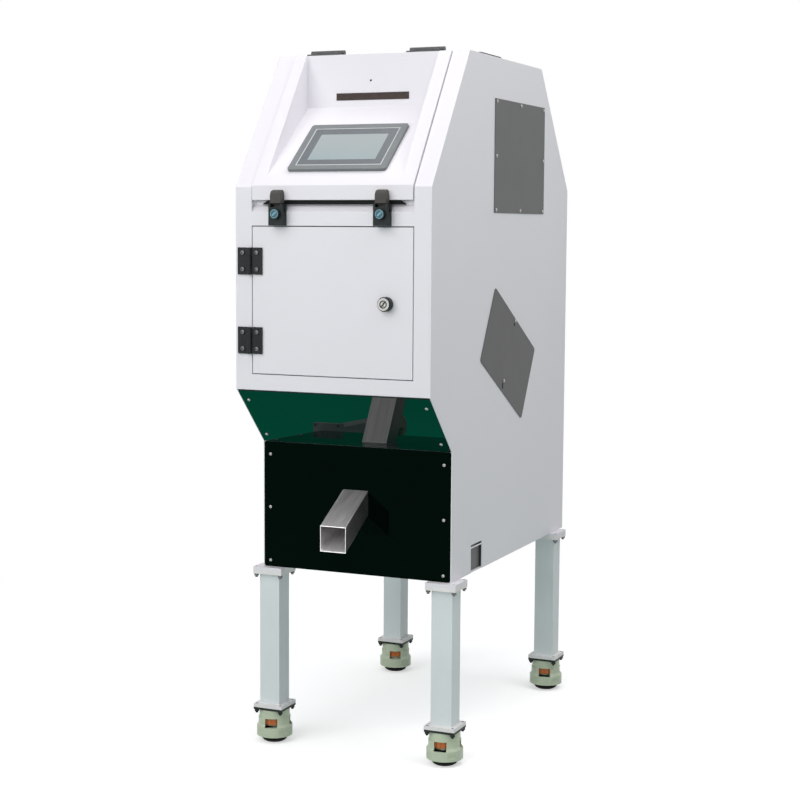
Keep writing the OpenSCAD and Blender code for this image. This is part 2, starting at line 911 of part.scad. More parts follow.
// A bar across a width, centred at a place in the inspection frame
module cross_bar(w, y, z, l, h) {
    translate([-w / 2, y - l / 2, z - h / 2]) cube([w, l, h]);
}

module sorting_chute() {
    low_in = 60;
    high_in = 80;
    bar_low = chute_gap + low_in;
    bar_high = chute_gap + chute_l - high_in;
    color(stainless) at_inspection() {
        translate([-chute_w / 2, chute_gap, -chute_t]) cube([chute_w, chute_l, chute_t]);
        both_sides()
            translate([chute_w / 2 - chute_t, chute_gap, -chute_t])
                cube([chute_t, chute_l, chute_lip + chute_t]);
        for (y = [bar_low, bar_high])
            cross_bar(inner_w, y, -chute_t - chute_bar / 2, chute_bar, chute_bar);
    }
}

module camera_box() {
    face = camera_reach - camera_l / 2;
    difference() {
        cross_bar(inner_w, 0, camera_reach, camera_h, camera_l);
        cross_bar(
            inner_w + through, 0, camera_reach, camera_h - 2 * box_t, camera_l - 2 * box_t
        );
        cross_bar(slot_w, 0, face, slot_h, 4 * box_t);
    }
}

module camera_boxes() {
    color(grey_paint) at_inspection() {
        camera_box();
        mirror([0, 0, 1]) camera_box();
    }
}

module light_bars() {
    face = camera_reach - camera_l / 2;
    lamp_gap = 6;
    reach = slot_h / 2 + lamp / 2 + lamp_gap;
    color(steel) at_inspection()
        for (y = [-reach, reach], side = [-1, 1])
            cross_bar(slot_w, y, side * (face - lamp / 2), lamp, lamp);
}

module ejector_block() {
    nozzle_h = 2;
    pitch = slot_w / valves;
    color(steel) at_inspection() {
        difference() {
            cross_bar(inner_w, -ejector_drop, ejector_reach, ejector_l, ejector_t);
            cross_bar(slot_w, -ejector_drop, ejector_reach - ejector_t / 2, nozzle_h, nozzle_h * 4);
        }
        for (i = [0 : valves - 1])
            translate([(i - (valves - 1) / 2) * pitch, -ejector_drop, ejector_reach + ejector_t / 2])
                cylinder(d = valve_d, h = valve_l);
    }
}

// A slab between two corners
module slab(a, b) {
    translate(a) cube(b - a);
}

// The straight rim of a hopper, which meets both side panels
module hopper_rim(front, back) {
    half = inner_w / 2;
    z = base_z + mouth_z;
    difference() {
        slab([-half, front, z - rim_h], [half, back, z]);
        slab(
            [hopper_t - half, front + hopper_t, z - rim_h - eps],
            [half - hopper_t, back - hopper_t, z + eps]
        );
    }
}

module accept_hopper() {
    half = inner_w / 2;
    throat = spout_w / 2;
    wall_z = spout_t / cos(spout_angle);
    low = base_z + spout_low + spout_in * spout_slope;
    high = low + spout_h;
    z = base_z + mouth_z - rim_h;
    inside = [throat - spout_t, low + wall_z, high - wall_z];
    color(stainless) placed() {
        hopper_rim(throat_y, split_y);
        difference() {
            hull() {
                slab([-half, throat_y, z - eps], [half, split_y, z]);
                slab([-throat, throat_y, low], [throat, throat_y + 2 * hopper_t, high]);
            }
            hull() {
                slab(
                    [hopper_t - half, throat_y + hopper_t, z],
                    [half - hopper_t, split_y - hopper_t, z + 1]
                );
                slab(
                    [-inside[0], throat_y + hopper_t, inside[1]],
                    [inside[0], throat_y + 2 * hopper_t, inside[2]]
                );
            }
            slab(
                [-inside[0], throat_y - 1, inside[1]],
                [inside[0], throat_y + 1.5 * hopper_t, inside[2]]
            );
        }
    }
}

module reject_hopper() {
    half = inner_w / 2;
    out = reject_w / 2;
    flange_out = 14;
    out_back = reject_out_y + reject_out;
    z = base_z + mouth_z - rim_h;
    low = pan_top_z + hopper_t;
    color(stainless) placed() {
        hopper_rim(reject_y, reject_y + reject_l);
        difference() {
            union() {
                hull() {
                    slab([-half, reject_y, z - eps], [half, reject_y + reject_l, z]);
                    slab([-out, reject_out_y, low - eps], [out, out_back, low]);
                }
                slab([-out, reject_out_y, base_z - reject_drop], [out, out_back, low]);
                slab(
                    [-out - flange_out, reject_out_y - flange_out, pan_top_z],
                    [out + flange_out, out_back + flange_out, low]
                );
            }
            hull() {
                slab(
                    [hopper_t - half, reject_y + hopper_t, z],
                    [half - hopper_t, reject_y + reject_l - hopper_t, z + 1]
                );
                slab(
                    [hopper_t - out, reject_out_y + hopper_t, low - 1],
                    [out - hopper_t, out_back - hopper_t, low]
                );
            }
            slab(
                [hopper_t - out, reject_out_y + hopper_t, base_z - reject_drop - 1],
                [out - hopper_t, out_back - hopper_t, low]
            );
        }
    }
}

module control_box() {
    half = control_w / 2;
    wire_gap = 5;
    back = body_d - sheet - wire_gap;
    top = pan_top_z + control_h;
    color(grey_paint) placed() difference() {
        slab([-half, back - control_d, pan_top_z], [half, back, top]);
        slab(
            [box_t - half, back - control_d + box_t, pan_top_z + box_t],
            [half - box_t, back + 1, top - box_t]
        );
    }
}

module leg(i) {
    low = leg_low_z + plate_t;
    h = leg_top_z - plate_t - low;
    bore = tube - 2 * tube_t;
    color(leg_paint) placed() at_leg(i) {
        flange(leg_low_z, plate_t);
        flange(leg_top_z - plate_t, plate_t);
        difference() {
            translate([-tube / 2, -tube / 2, low]) cube([tube, tube, h]);
            translate([-bore / 2, -bore / 2, low - eps]) cube([bore, bore, h + 2 * eps]);
        }
    }
}

module leg_front_left() leg(FRONT_LEFT);
module leg_front_right() leg(FRONT_RIGHT);
module leg_rear_left() leg(REAR_LEFT);
module leg_rear_right() leg(REAR_RIGHT);

// A hex bolt with its head's seat at height z and its shank upwards
module bolt(z, shank) {
    translate([0, 0, z - bolt_h]) cylinder(d = bolt_af / cos(30), h = bolt_h, $fn = 6);
    translate([0, 0, z - bolt_h - bolt_tail]) cylinder(d = bolt_d, h = bolt_tail + eps);
    translate([0, 0, z - eps]) cylinder(d = bolt_d, h = shank + eps);
}

module leg_bolts() {
    color(steel) placed()
        for (i = [0 : 3]) at_leg(i) bolt_places() {
            bolt(leg_top_z - plate_t, 2 * plate_t - pass);
            bolt(caster_plate_z, caster_plate_t + plate_t);
        }
}

module caster_plates() {
    color(grey_paint) placed()
        for (i = [0 : 3]) at_leg(i) {
            flange(caster_plate_z, caster_plate_t);
            translate([0, 0, king_low]) cylinder(r = king_r, h = caster_plate_z - king_low + eps);
        }
}

// Frame of a caster: its dial window faces along the heading
module at_caster(i) {
    placed() at_leg(i) rotate(headings[i]) children();
}

module caster_housing() {
    side_window = 22;
    side_front = 6;
    shell_wall = 5.5;
    shell_r = cavity_r + shell_wall;
    cavity_h = hub_low - ring_top;
    slot_half = wheel_w / 2 + wheel_gap;
    slot_gap = 1;
    foot_gap = 1.5;
    flare_h = 6;
    seat_r = dial_r - 8;
    pocket_w = 20;
    pocket_h = 9;
    pocket_t = 2;
    pocket_turn = 41;
    pocket_z = (ring_low + ring_top - pocket_h) / 2;
    cheek_front = side_window - side_front;
    cheek_back = wheel_back + 10;
    cheek_knee = wheel_z + 8;
    cheek_neck = hub_r - 2;
    cheek = [
        [cheek_front, ring_low], [cheek_back, ring_low], [cheek_back, cheek_knee],
        [cheek_neck, hub_low], [cheek_front, hub_low]
    ];
    difference() {
        union() {
            translate([0, 0, hub_low]) cylinder(r = hub_r, h = hub_top - hub_low);
            translate([0, 0, ring_low]) cylinder(d = ring_w, h = ring_top - ring_low);
            translate([0, 0, ring_top - eps]) cylinder(r1 = ring_w / 2, r2 = shell_r, h = flare_h);
            translate([0, 0, ring_top - eps]) cylinder(r = shell_r, h = cavity_h + 2 * eps);
            across(-cheek_half, 2 * cheek_half) polygon(cheek);
        }
        translate([0, 0, ring_top]) cylinder(r = cavity_r, h = cavity_h);
        translate([-window_w / 2, -through, ring_top]) cube([window_w, through, cavity_h]);
        for (turn = [-pocket_turn, pocket_turn]) rotate(turn)
            translate([-pocket_w / 2, pocket_t - ring_w / 2 - through, pocket_z])
                cube([pocket_w, through, pocket_h]);
        translate([-through, -side_front, ring_top]) cube([2 * through, side_window, cavity_h]);
        translate([0, 0, ring_low - eps])
            cylinder(r = foot_r + foot_gap, h = foot_t + foot_travel + slot_gap - ring_low);
        translate([0, 0, ring_low])
            cylinder(r = stem_r + play, h = stem_top + foot_travel + slot_gap - ring_low);
        translate([0, 0, king_low - play]) cylinder(r = king_r + pin_play, h = through);
        translate([-slot_half, wheel_back - wheel_r - slot_gap, 0])
            cube([2 * slot_half, through, wheel_z + wheel_r + foot_gap]);
    }
    translate([-cheek_half, wheel_back, wheel_z])
        rotate([0, 90, 0]) cylinder(r = axle_r, h = 2 * cheek_half);
    translate([0, 0, ring_top - eps]) difference() {
        cylinder(r = seat_r, h = dial_lift - play + eps);
        translate([0, 0, -eps]) cylinder(r = stem_r + play, h = dial_lift + eps);
    }
}

module caster_wheel() {
    dish_t = 3;
    tread_t = 5;
    boss_t = 4;
    dish_r = wheel_r - tread_t;
    hub = axle_r + boss_t;
    translate([0, wheel_back, wheel_z]) rotate([0, 90, 0]) difference() {
        cylinder(r = wheel_r, h = wheel_w, center = true);
        cylinder(r = axle_r + pin_play, h = through, center = true);
        for (side = [0, 1]) mirror([0, 0, side])
            translate([0, 0, wheel_w / 2 - dish_t]) difference() {
                cylinder(r = dish_r, h = through);
                translate([0, 0, -1]) cylinder(r = hub, h = through + 2);
            }
    }
}

module caster_dial() {
    notch_r = 2;
    notch_out = 0.5;
    translate([0, 0, ring_top + dial_lift]) difference() {
        cylinder(r = dial_r, h = dial_t);
        translate([0, 0, -1]) cylinder(r = stem_r + pin_play, h = dial_t + 2);
        for (i = [0 : dial_notches - 1])
            rotate(i * 360 / dial_notches)
                translate([dial_r + notch_out, 0, -1]) cylinder(r = notch_r, h = dial_t + 2);
    }
}

module caster_foot() {
    sole_in = 7;
    heel_in = 2;
    heel_h = 3;
    rim_h = 6;
    shoulder = 3;
    shoulder_h = 4;
    rotate_extrude()
        polygon([
            [0, 0], [foot_r - sole_in, 0], [foot_r - heel_in, heel_h], [foot_r, rim_h],
            [foot_r, foot_t - shoulder_h],
            [foot_r - shoulder, foot_t], [stem_r, foot_t], [stem_r, stem_top], [0, stem_top]
        ]);
}

module caster_front_left() color(ivory) at_caster(FRONT_LEFT) caster_housing();
module caster_front_right() color(ivory) at_caster(FRONT_RIGHT) caster_housing();
module caster_rear_left() color(ivory) at_caster(REAR_LEFT) caster_housing();
module caster_rear_right() color(ivory) at_caster(REAR_RIGHT) caster_housing();
module wheel_front_left() color(black_plastic) at_caster(FRONT_LEFT) caster_wheel();
module wheel_front_right() color(black_plastic) at_caster(FRONT_RIGHT) caster_wheel();
module wheel_rear_left() color(black_plastic) at_caster(REAR_LEFT) caster_wheel();
module wheel_rear_right() color(black_plastic) at_caster(REAR_RIGHT) caster_wheel();
module dial_front_left() color(orange) at_caster(FRONT_LEFT) caster_dial();
module dial_front_right() color(orange) at_caster(FRONT_RIGHT) caster_dial();
module dial_rear_left() color(orange) at_caster(REAR_LEFT) caster_dial();
module dial_rear_right() color(orange) at_caster(REAR_RIGHT) caster_dial();
module foot_front_left() color(rubber_black) at_caster(FRONT_LEFT) caster_foot();
module foot_front_right() color(rubber_black) at_caster(FRONT_RIGHT) caster_foot();
module foot_rear_left() color(rubber_black) at_caster(REAR_LEFT) caster_foot();
module foot_rear_right() color(rubber_black) at_caster(REAR_RIGHT) caster_foot();

// One leaf of a hinge whose pin stands on the origin: the leaf lies on the side of sign
// The seat is the distance from the pin to the face that the leaf lies on
module hinge_leaf(sign, l, w, t, r, seat) {
    gap = r + play;
    mirror([sign < 0 ? 1 : 0, 0, 0])
        translate([gap, seat - t, -l / 2]) cube([w - gap, t, l]);
}

// Knuckle of a hinge with its web to the leaf, between two heights
module knuckle(sign, from, to, w, t, r, seat) {
    translate([0, 0, from]) cylinder(r = r, h = to - from);
    translate([sign < 0 ? -w : 0, seat - t, from]) cube([w, t, to - from]);
}

// Fixed leaf with the two outer knuckles and the pin
module pinned_leaf(l, w, t, r, seat) {
    hinge_leaf(-1, l, w, t, r, seat);
    for (from = [-l / 2, l / 6 + play / 2])
        knuckle(-1, from, from + l / 3 - play / 2, r + 2 * play, t, r, seat);
    cylinder(r = pin_r, h = l, center = true);
}

// Turning leaf with the middle knuckle
module bored_leaf(l, w, t, r, seat) {
    third = l / 6 - play / 2;
    difference() {
        union() {
            hinge_leaf(1, l, w, t, r, seat);
            knuckle(1, -third, third, r + 2 * play, t, r, seat);
        }
        cylinder(r = pin_r + pin_play, h = l, center = true);
    }
}

module at_door_hinges() {
    for (z = [hinge_low, hinge_high])
        translate([door_pin_x, door_pin_y, door_z + z]) children();
}

module door_hinge_frame_leaves() {
    color(black_plastic) placed() at_door_hinges()
        pinned_leaf(hinge_h, leaf_w, leaf_t, knuckle_r, -door_pin_y);
}

module door_hinge_door_leaves() {
    color(black_plastic) placed() at_door_hinges()
        bored_leaf(hinge_h, leaf_w, leaf_t, knuckle_r, -door_pin_y);
}

module at_hood_hinges() {
    for (x = [-hinge_x, hinge_x])
        translate([x, top_pin_y, top_pin_z]) rotate([-90, 0, -90]) children();
}

module hood_hinge_top_leaves() {
    color(black_plastic) placed() at_hood_hinges()
        pinned_leaf(top_hinge_l, top_leaf_w, top_leaf_t, top_knuckle_r, top_pin_z - top_z);
}

module hood_hinge_hood_leaves() {
    color(black_plastic) placed() at_hood_hinges()
        bored_leaf(top_hinge_l, top_leaf_w, top_leaf_t, top_knuckle_r, top_pin_z - top_z);
}

// Each base is open at the top, where the keeper's tongue leaves it, and at the cam's side
module latch_bases() {
    inside_w = latch_w - 2 * latch_wall;
    inside_t = latch_t - 2 * latch_wall;
    tongue_gap = 1.5;
    neck_w = tongue_w + 2 * tongue_gap;
    neck_rise = 14;
    neck_z = latch_axis_z + neck_rise;
    slot_gap = 0.8;
    slot_y = cam_back_y - cam_thick - slot_gap;
    slot_z = latch_axis_z - cam_w / 2 - slot_gap;
    color(black_plastic) placed() for (x = [-latch_x, latch_x]) translate([x, 0, 0])
        difference() {
            translate([-latch_w / 2, -latch_t, latch_z]) cube([latch_w, latch_t, latch_h]);
            translate([-inside_w / 2, latch_wall - latch_t, latch_z + latch_wall])
                cube([inside_w, inside_t, latch_h]);
            translate([-neck_w / 2, -latch_t - 1, neck_z]) cube([neck_w, latch_wall + 2, latch_h]);
            translate([inside_w / 2 - 1, slot_y, slot_z])
                cube([latch_wall + 2, cam_thick + 2 * slot_gap, latch_h]);
            along_y(0, latch_axis_z, -latch_t - 1, latch_shaft_r + pin_play, latch_wall + 2);
        }
}

module latch_knob(x) {
    shaft_l = cam_back_y - knob_front_y;
    cam_front_y = cam_back_y - cam_thick;
    color(black_plastic) placed() translate([x, 0, 0]) {
        along_y(0, latch_axis_z, knob_front_y, knob_d / 2, knob_t);
        along_y(0, latch_axis_z, knob_front_y, latch_shaft_r, shaft_l);
        translate([0, cam_front_y, latch_axis_z - cam_w / 2]) cube([cam_len, cam_thick, cam_w]);
    }
}

module latch_knob_left() latch_knob(-latch_x);
module latch_knob_right() latch_knob(latch_x);

module latch_keepers() {
    r = 9;
    low = lip_z - keeper_drop;
    high = lip_z + keeper_top;
    front = -lip_proud - keeper_t;
    half = keeper_w / 2;
    taper_h = 12;
    crown_h = 3;
    taper = 1.5;
    crown = 4;
    outline = [
        [-half, low], [half, low], [half, high - taper_h], [half - taper, high - crown_h],
        [half - crown, high], [crown - half, high], [taper - half, high - crown_h],
        [-half, high - taper_h]
    ];
    color(grey_paint) placed() for (x = [-latch_x, latch_x]) translate([x, 0, 0]) {
        intersection() {
            across(-half, keeper_w) {
                translate([front, low]) square([keeper_t, high - r - low]);
                translate([front + r, low]) square([keeper_t - r, high - low]);
                translate([front + r, high - r]) circle(r);
            }
            rotate([90, 0, 0]) linear_extrude(through) polygon(outline);
        }
        translate([-tongue_w / 2, tongue_front_y, tongue_z])
            cube([tongue_w, tongue_t, low - tongue_z + 1]);
    }
}

module on_ledge() {
    placed()
        translate([0, ledge_front_y, ledge_front_z])
            rotate([ledge_angle, 0, 0])
                translate([0, bezel_low + bezel_l / 2, 0])
                    children();
}

// A box centred on the touch panel, between two heights above the ledge
module panel_box(w, l, low, high) {
    translate([-w / 2, -l / 2, low]) cube([w, l, high - low]);
}

module hood_shell() {
    foot = [ledge_front_y, ledge_front_z];
    out = foot + through * [-slope, 1] / norm([slope, 1]);
    cut = 2 * (case_in - pass);
    color(white_paint) difference() {
        placed() {
            difference() {
                bent_sheet(hood_skin_path, sheet, hood_w);
                across(-recess_w / 2, recess_w)
                    polygon([
                        foot, [front_run, ledge_back_z], [front_run, top_z + through],
                        [out[0], top_z + through], out
                    ]);
            }
            bent_sheet(reversed(ledge_path), sheet, recess_w + 2 * sheet);
            both_sides() {
                across(recess_w / 2, sheet) polygon(concat(ledge_path, [[hood_top_y, top_z]]));
                across(hood_w / 2 - sheet, sheet) polygon(band(hood_path, hood_fold));
            }
        }
        on_ledge() panel_box(bezel_w - cut, bezel_l - cut, -through / 2, through / 2);
    }
}

module touch_panel() {
    floor_z = bezel_t - screen_t - screen_sink;
    color(bezel_grey) on_ledge() {
        difference() {
            linear_extrude(bezel_t) rounded(bezel_w, bezel_l, bezel_r);
            panel_box(bezel_w - 2 * bezel_rim, bezel_l - 2 * bezel_rim, floor_z, through);
        }
        panel_box(bezel_w - 2 * case_in, bezel_l - 2 * case_in, -case_t, floor_z / 2);
    }
}

module touch_screen() {
    floor_z = bezel_t - screen_t - screen_sink;
    cut = 2 * (bezel_rim + play);
    color(screen_grey) on_ledge()
        panel_box(bezel_w - cut, bezel_l - cut, floor_z, floor_z + screen_t);
}

module dark_strip() {
    strip_t = 1;
    color(brown) placed()
        translate([-strip_w / 2, front_run - strip_t, ledge_back_z + strip_rise])
            cube([strip_w, strip_t, strip_h]);
}

module door_panel() {
    color(white_paint) placed() difference() {
        translate([-door_w / 2, 0, door_z]) cube([door_w, door_fold, door_h]);
        translate([sheet - door_w / 2, sheet, door_z + sheet])
            cube([door_w - 2 * sheet, door_fold, door_h - 2 * sheet]);
        along_y(lock_x, lock_z, -1, barrel_d / 2 + pass, sheet + 2);
    }
}

module lock_body() {
    color(black_plastic) placed() difference() {
        union() {
            along_y(lock_x, lock_z, -lock_out, lock_d / 2, lock_out);
            along_y(lock_x, lock_z, -1, barrel_d / 2, barrel_end - play + 1);
        }
        along_y(lock_x, lock_z, -lock_out - 1, plug_d / 2 + pin_play, through);
    }
}

module lock_plug() {
    face_t = 2;
    face_in = 2;
    face_y = -lock_out - play - face_t;
    key_w = 2;
    key_h = 9;
    color(steel) placed() {
        difference() {
            union() {
                along_y(lock_x, lock_z, face_y, lock_d / 2 - face_in, face_t);
                along_y(lock_x, lock_z, face_y, plug_d / 2, barrel_end + cam_t - face_y);
            }
            translate([lock_x - key_w / 2, face_y - 1, lock_z - key_h / 2])
                cube([key_w, face_t * 3, key_h]);
        }
        translate([lock_x - lock_cam_w / 2, barrel_end, lock_z - lock_cam_l])
            cube([lock_cam_w, cam_t, lock_cam_l]);
    }
}

left_side_panel();
right_side_panel();
front_frame();
top_panel();
rear_panel();
base_frame();
green_window();
lower_front_panel();
upper_side_cover();
slanted_side_cover();
outlet_spout();
hood_seal();
feed_hopper();
inlet_trim();
feeder_base();
sorting_chute();
camera_boxes();
light_bars();
ejector_block();
accept_hopper();
reject_hopper();
control_box();
leg_front_left();
leg_front_right();
leg_rear_left();
leg_rear_right();
leg_bolts();
caster_plates();
door_hinge_frame_leaves();
hood_hinge_top_leaves();
latch_bases();
hood_shell();
touch_panel();
touch_screen();
dark_strip();
hood_hinge_hood_leaves();
latch_keepers();
door_panel();
door_hinge_door_leaves();
lock_body();
lock_plug();
latch_knob_left();
latch_knob_right();
feeder_tray();
caster_front_left();
caster_front_right();
caster_rear_left();
caster_rear_right();
wheel_front_left();
wheel_front_right();
wheel_rear_left();
wheel_rear_right();
dial_front_left();
dial_front_right();
dial_rear_left();
dial_rear_right();
foot_front_left();
foot_front_right();
foot_rear_left();
foot_rear_right();
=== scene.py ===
import json
import math

import bmesh
import bpy
from bpy.props import FloatProperty, FloatVectorProperty, PointerProperty
from mathutils import Matrix, Vector


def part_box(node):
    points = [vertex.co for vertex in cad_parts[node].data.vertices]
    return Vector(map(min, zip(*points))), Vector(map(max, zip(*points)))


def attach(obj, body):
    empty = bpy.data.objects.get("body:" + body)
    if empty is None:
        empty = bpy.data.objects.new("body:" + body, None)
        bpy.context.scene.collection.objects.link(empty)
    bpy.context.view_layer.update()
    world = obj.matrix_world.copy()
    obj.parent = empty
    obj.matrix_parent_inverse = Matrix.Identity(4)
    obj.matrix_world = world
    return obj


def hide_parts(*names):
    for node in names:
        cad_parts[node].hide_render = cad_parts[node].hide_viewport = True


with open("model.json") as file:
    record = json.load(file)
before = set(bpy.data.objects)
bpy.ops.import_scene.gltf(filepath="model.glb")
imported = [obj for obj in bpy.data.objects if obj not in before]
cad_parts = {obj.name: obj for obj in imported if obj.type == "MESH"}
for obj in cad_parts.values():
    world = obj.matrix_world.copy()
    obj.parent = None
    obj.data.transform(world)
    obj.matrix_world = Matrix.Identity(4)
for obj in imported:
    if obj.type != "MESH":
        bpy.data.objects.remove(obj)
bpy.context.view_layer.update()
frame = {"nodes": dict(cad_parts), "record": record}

bl_info = {
    "name": "Colour sorter finish",
    "version": (1, 0, 0),
    "blender": (4, 5, 0),
    "location": "View3D > Sidebar > Sorter",
    "description": "Finishes, fasteners and studio for the packed colour sorter",
    "category": "Object",
}

MM = 0.001
UP = Vector((0, 0, 1))
FORWARD = Vector((0, -1, 0))
BACKWARD = Vector((0, 1, 0))
RIGHT = Vector((1, 0, 0))
FRONT_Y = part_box("door_panel")[0].y
SIDE_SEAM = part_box("front_frame")[1].x
SLOTS = {row["node"]: row["material_slot"] for row in frame["record"]["subparts"]}
BODY_OF = {
    node: body
    for body, members in frame["record"]["behaviour"]["bodies"].items()
    for node in members
}
CORNERS = ("front_left", "front_right", "rear_left", "rear_right")

# Limits for edges, shading, faces that look one way and points that become one

SHARP_ANGLE = math.radians(30)
SMOOTH_ANGLE = math.radians(40)
FLAT_ANGLE = math.radians(1)
BRUSH_ANGLE = math.radians(29)
FACING = 0.9
WELD = 0.00002

# Marks in metres, the latch bar a painted highlight: bars by half length, half width, height,
# angle, a ring by radius, width, height

LATCH_BAR = (0.0058, 0.0015, 0.0004, -40)
LOCK_BAR = (0.0085, 0.0012, 0.0006, -45)
LOCK_RING = (0.0082, 0.0022, 0.0003)

# Places in millimetres from the middle, the front face and the floor

NOTCH_PLATE_Y = (230, 332)
NOTCH_PLATE_Z = (402, 462)
NOTCH_PLATE_DEPTH = (5.2, 4.0)
COVER_FACE_X = 226.5
SLANTED_COVER_SCREWS = ((501, 940), (428, 808))
# Black pieces under the slanted cover's screws: painted shade in keyhole slot openings
SLANTED_COVER_SLOT_SHADES = (("upper", 494, 932, 4), ("lower", 421, 797, 7))
PANEL_SCREW_X = 207
PANEL_Y = 123
WINDOW_SCREWS = ((24.0, 781.5), (105.0, 698.5))
PANEL_SCREW_Z = (652, 534, 414)
REAR_SCREW_X = 211
REAR_SCREW_Z = (430, 630, 830, 1030, 1220)
INLET_FLANGE_SCREWS = (
    (-100, 376), (100, 376), (-100, 513), (100, 513), (-186, 444.5), (186, 444.5),
)
INLET_FLANGE_RISE = 1.5
DOOR_HINGE_Z = (911, 1079)
DOOR_HINGE_FRAME_X = -206
DOOR_HINGE_DOOR_X = -172.5
DOOR_HINGE_STEP = 17.5
DOOR_HINGE_RISE = 4
HOOD_HINGE_X = (-118, 118)
HOOD_HINGE_TOP_Y = 243.5
HOOD_HINGE_HOOD_Y = 210.5
HOOD_HINGE_STEP = 27
HOOD_HINGE_RISE = 3
CAMERA_SPOT = (1543.9, -3174.9, 1149.0)

# Studio: camera angles in degrees, its focal length in pixels, lamps as spot, size and power

CAMERA_TURN = (23.589, -5.763, 0.359)
FOCAL_PIXELS = 1697.9
PHOTO_PIXELS = 800.0
FLOOR_SIZE = 60.0
PAPER = (0.86, 0.86, 0.86, 1.0)
PAPER_GLOW = 0.47
GREEN_GLOW = 0.88
SHADOW_REACH = (0.9, 2.0)
FLOOR_LIGHT = (0.41, 0.505, 0.475, 1.0)
WORLD_LIGHT = (0.97, 0.98, 1.0, 1.0)
WORLD_STRENGTH = 0.34
LAMP_AIM = Vector((0, 0, 1.1))
LAMPS = {
    "key_lamp": (Vector((-1.0, -3.0, 2.6)), 3.2, 67.0),
    "fill_lamp": (Vector((1.8, -4.2, 1.0)), 2.4, 18.0),
    "top_lamp": (Vector((0.3, 0.2, 4.4)), 2.4, 36.0),
    "side_lamp": (Vector((1.5, -0.25, 2.8)), 1.6, 19.0),
}


def place(x, y, z):
    """A point given in millimetres from the middle, the front face and the floor."""
    return Vector((x * MM, FRONT_Y + y * MM, z * MM))


# Sizes and colours that a user may change


def length(name, description, default):
    return FloatProperty(
        name=name, description=description, default=default, min=0.0, unit="LENGTH", precision=4
    )


def colour(name, description, default):
    return FloatVectorProperty(
        name=name, description=description, default=default, size=3, min=0.0, max=1.0,
        subtype="COLOR",
    )


class SorterSizes(bpy.types.PropertyGroup):
    """Sizes of the edges and the small pieces."""

    sheet_edge: length("Sheet edge", "Rounding of the folded sheet's edges", 0.0009)
    tube_edge: length("Tube edge", "Rounding of the leg tubes and plates", 0.002)
    # The end plates are made paler than the leg as painted light
    plate_h: length("Plate height", "Height of the paler plates at the ends of a leg", 0.0085)
    small_edge: length("Small edge", "Rounding of hinges, latches and inner pieces", 0.0006)
    cast_edge: length("Cast edge", "Rounding of the caster housings", 0.0015)
    cover_screw: length("Cover screw", "Head diameter of the cover and panel screws", 0.0075)
    hinge_screw: length("Hinge screw", "Head diameter of the hinge screws", 0.010)
    cover_inset: length("Cover inset", "Distance of the cover screws from its sides", 0.010)
    cover_rise: length("Cover rise", "Distance of the cover screws from its top and bottom", 0.0065)
    # Painted shade: black pieces stand for the dark inside the keyhole slots
    cover_slot_shade: length("Cover slot shade", "Width of the slots under the slanted cover's screws", 0.007)
    spout_w: length("Spout width", "Width of the outlet spout across its sides", 0.060)
    disc: length("Latch disc", "Diameter of the recess for the disc on a latch", 0.0195)
    disc_recess: length("Disc recess", "Depth of the recess for a latch disc", 0.0012)
    disc_gap: length("Disc gap", "Gap round a latch disc in its recess", 0.0003)
    disc_h: length("Disc height", "Height of a latch disc", 0.0007)
    ring_w: length("Ring width", "Width of the ring on a latch disc", 0.0012)
    ring_h: length("Ring height", "Height of the ring on a latch disc", 0.0003)
    plug: length("Recess plug", "Diameter of the small plug above the strip", 0.0044)
    plug_h: length("Plug height", "Height of the small plug above the strip", 0.0008)
    display_w: length("Display width", "Width of the lit area of the touch panel", 0.158)
    # Painted highlight: the pale line inside the bezel stands in for light caught by the bezel's
    # step
    bezel_highlight_line: length("Bezel highlight line", "Width of the pale line inside the bezel", 0.0022)
    line_h: length("Line height", "Height of the pale line inside the bezel", 0.0006)


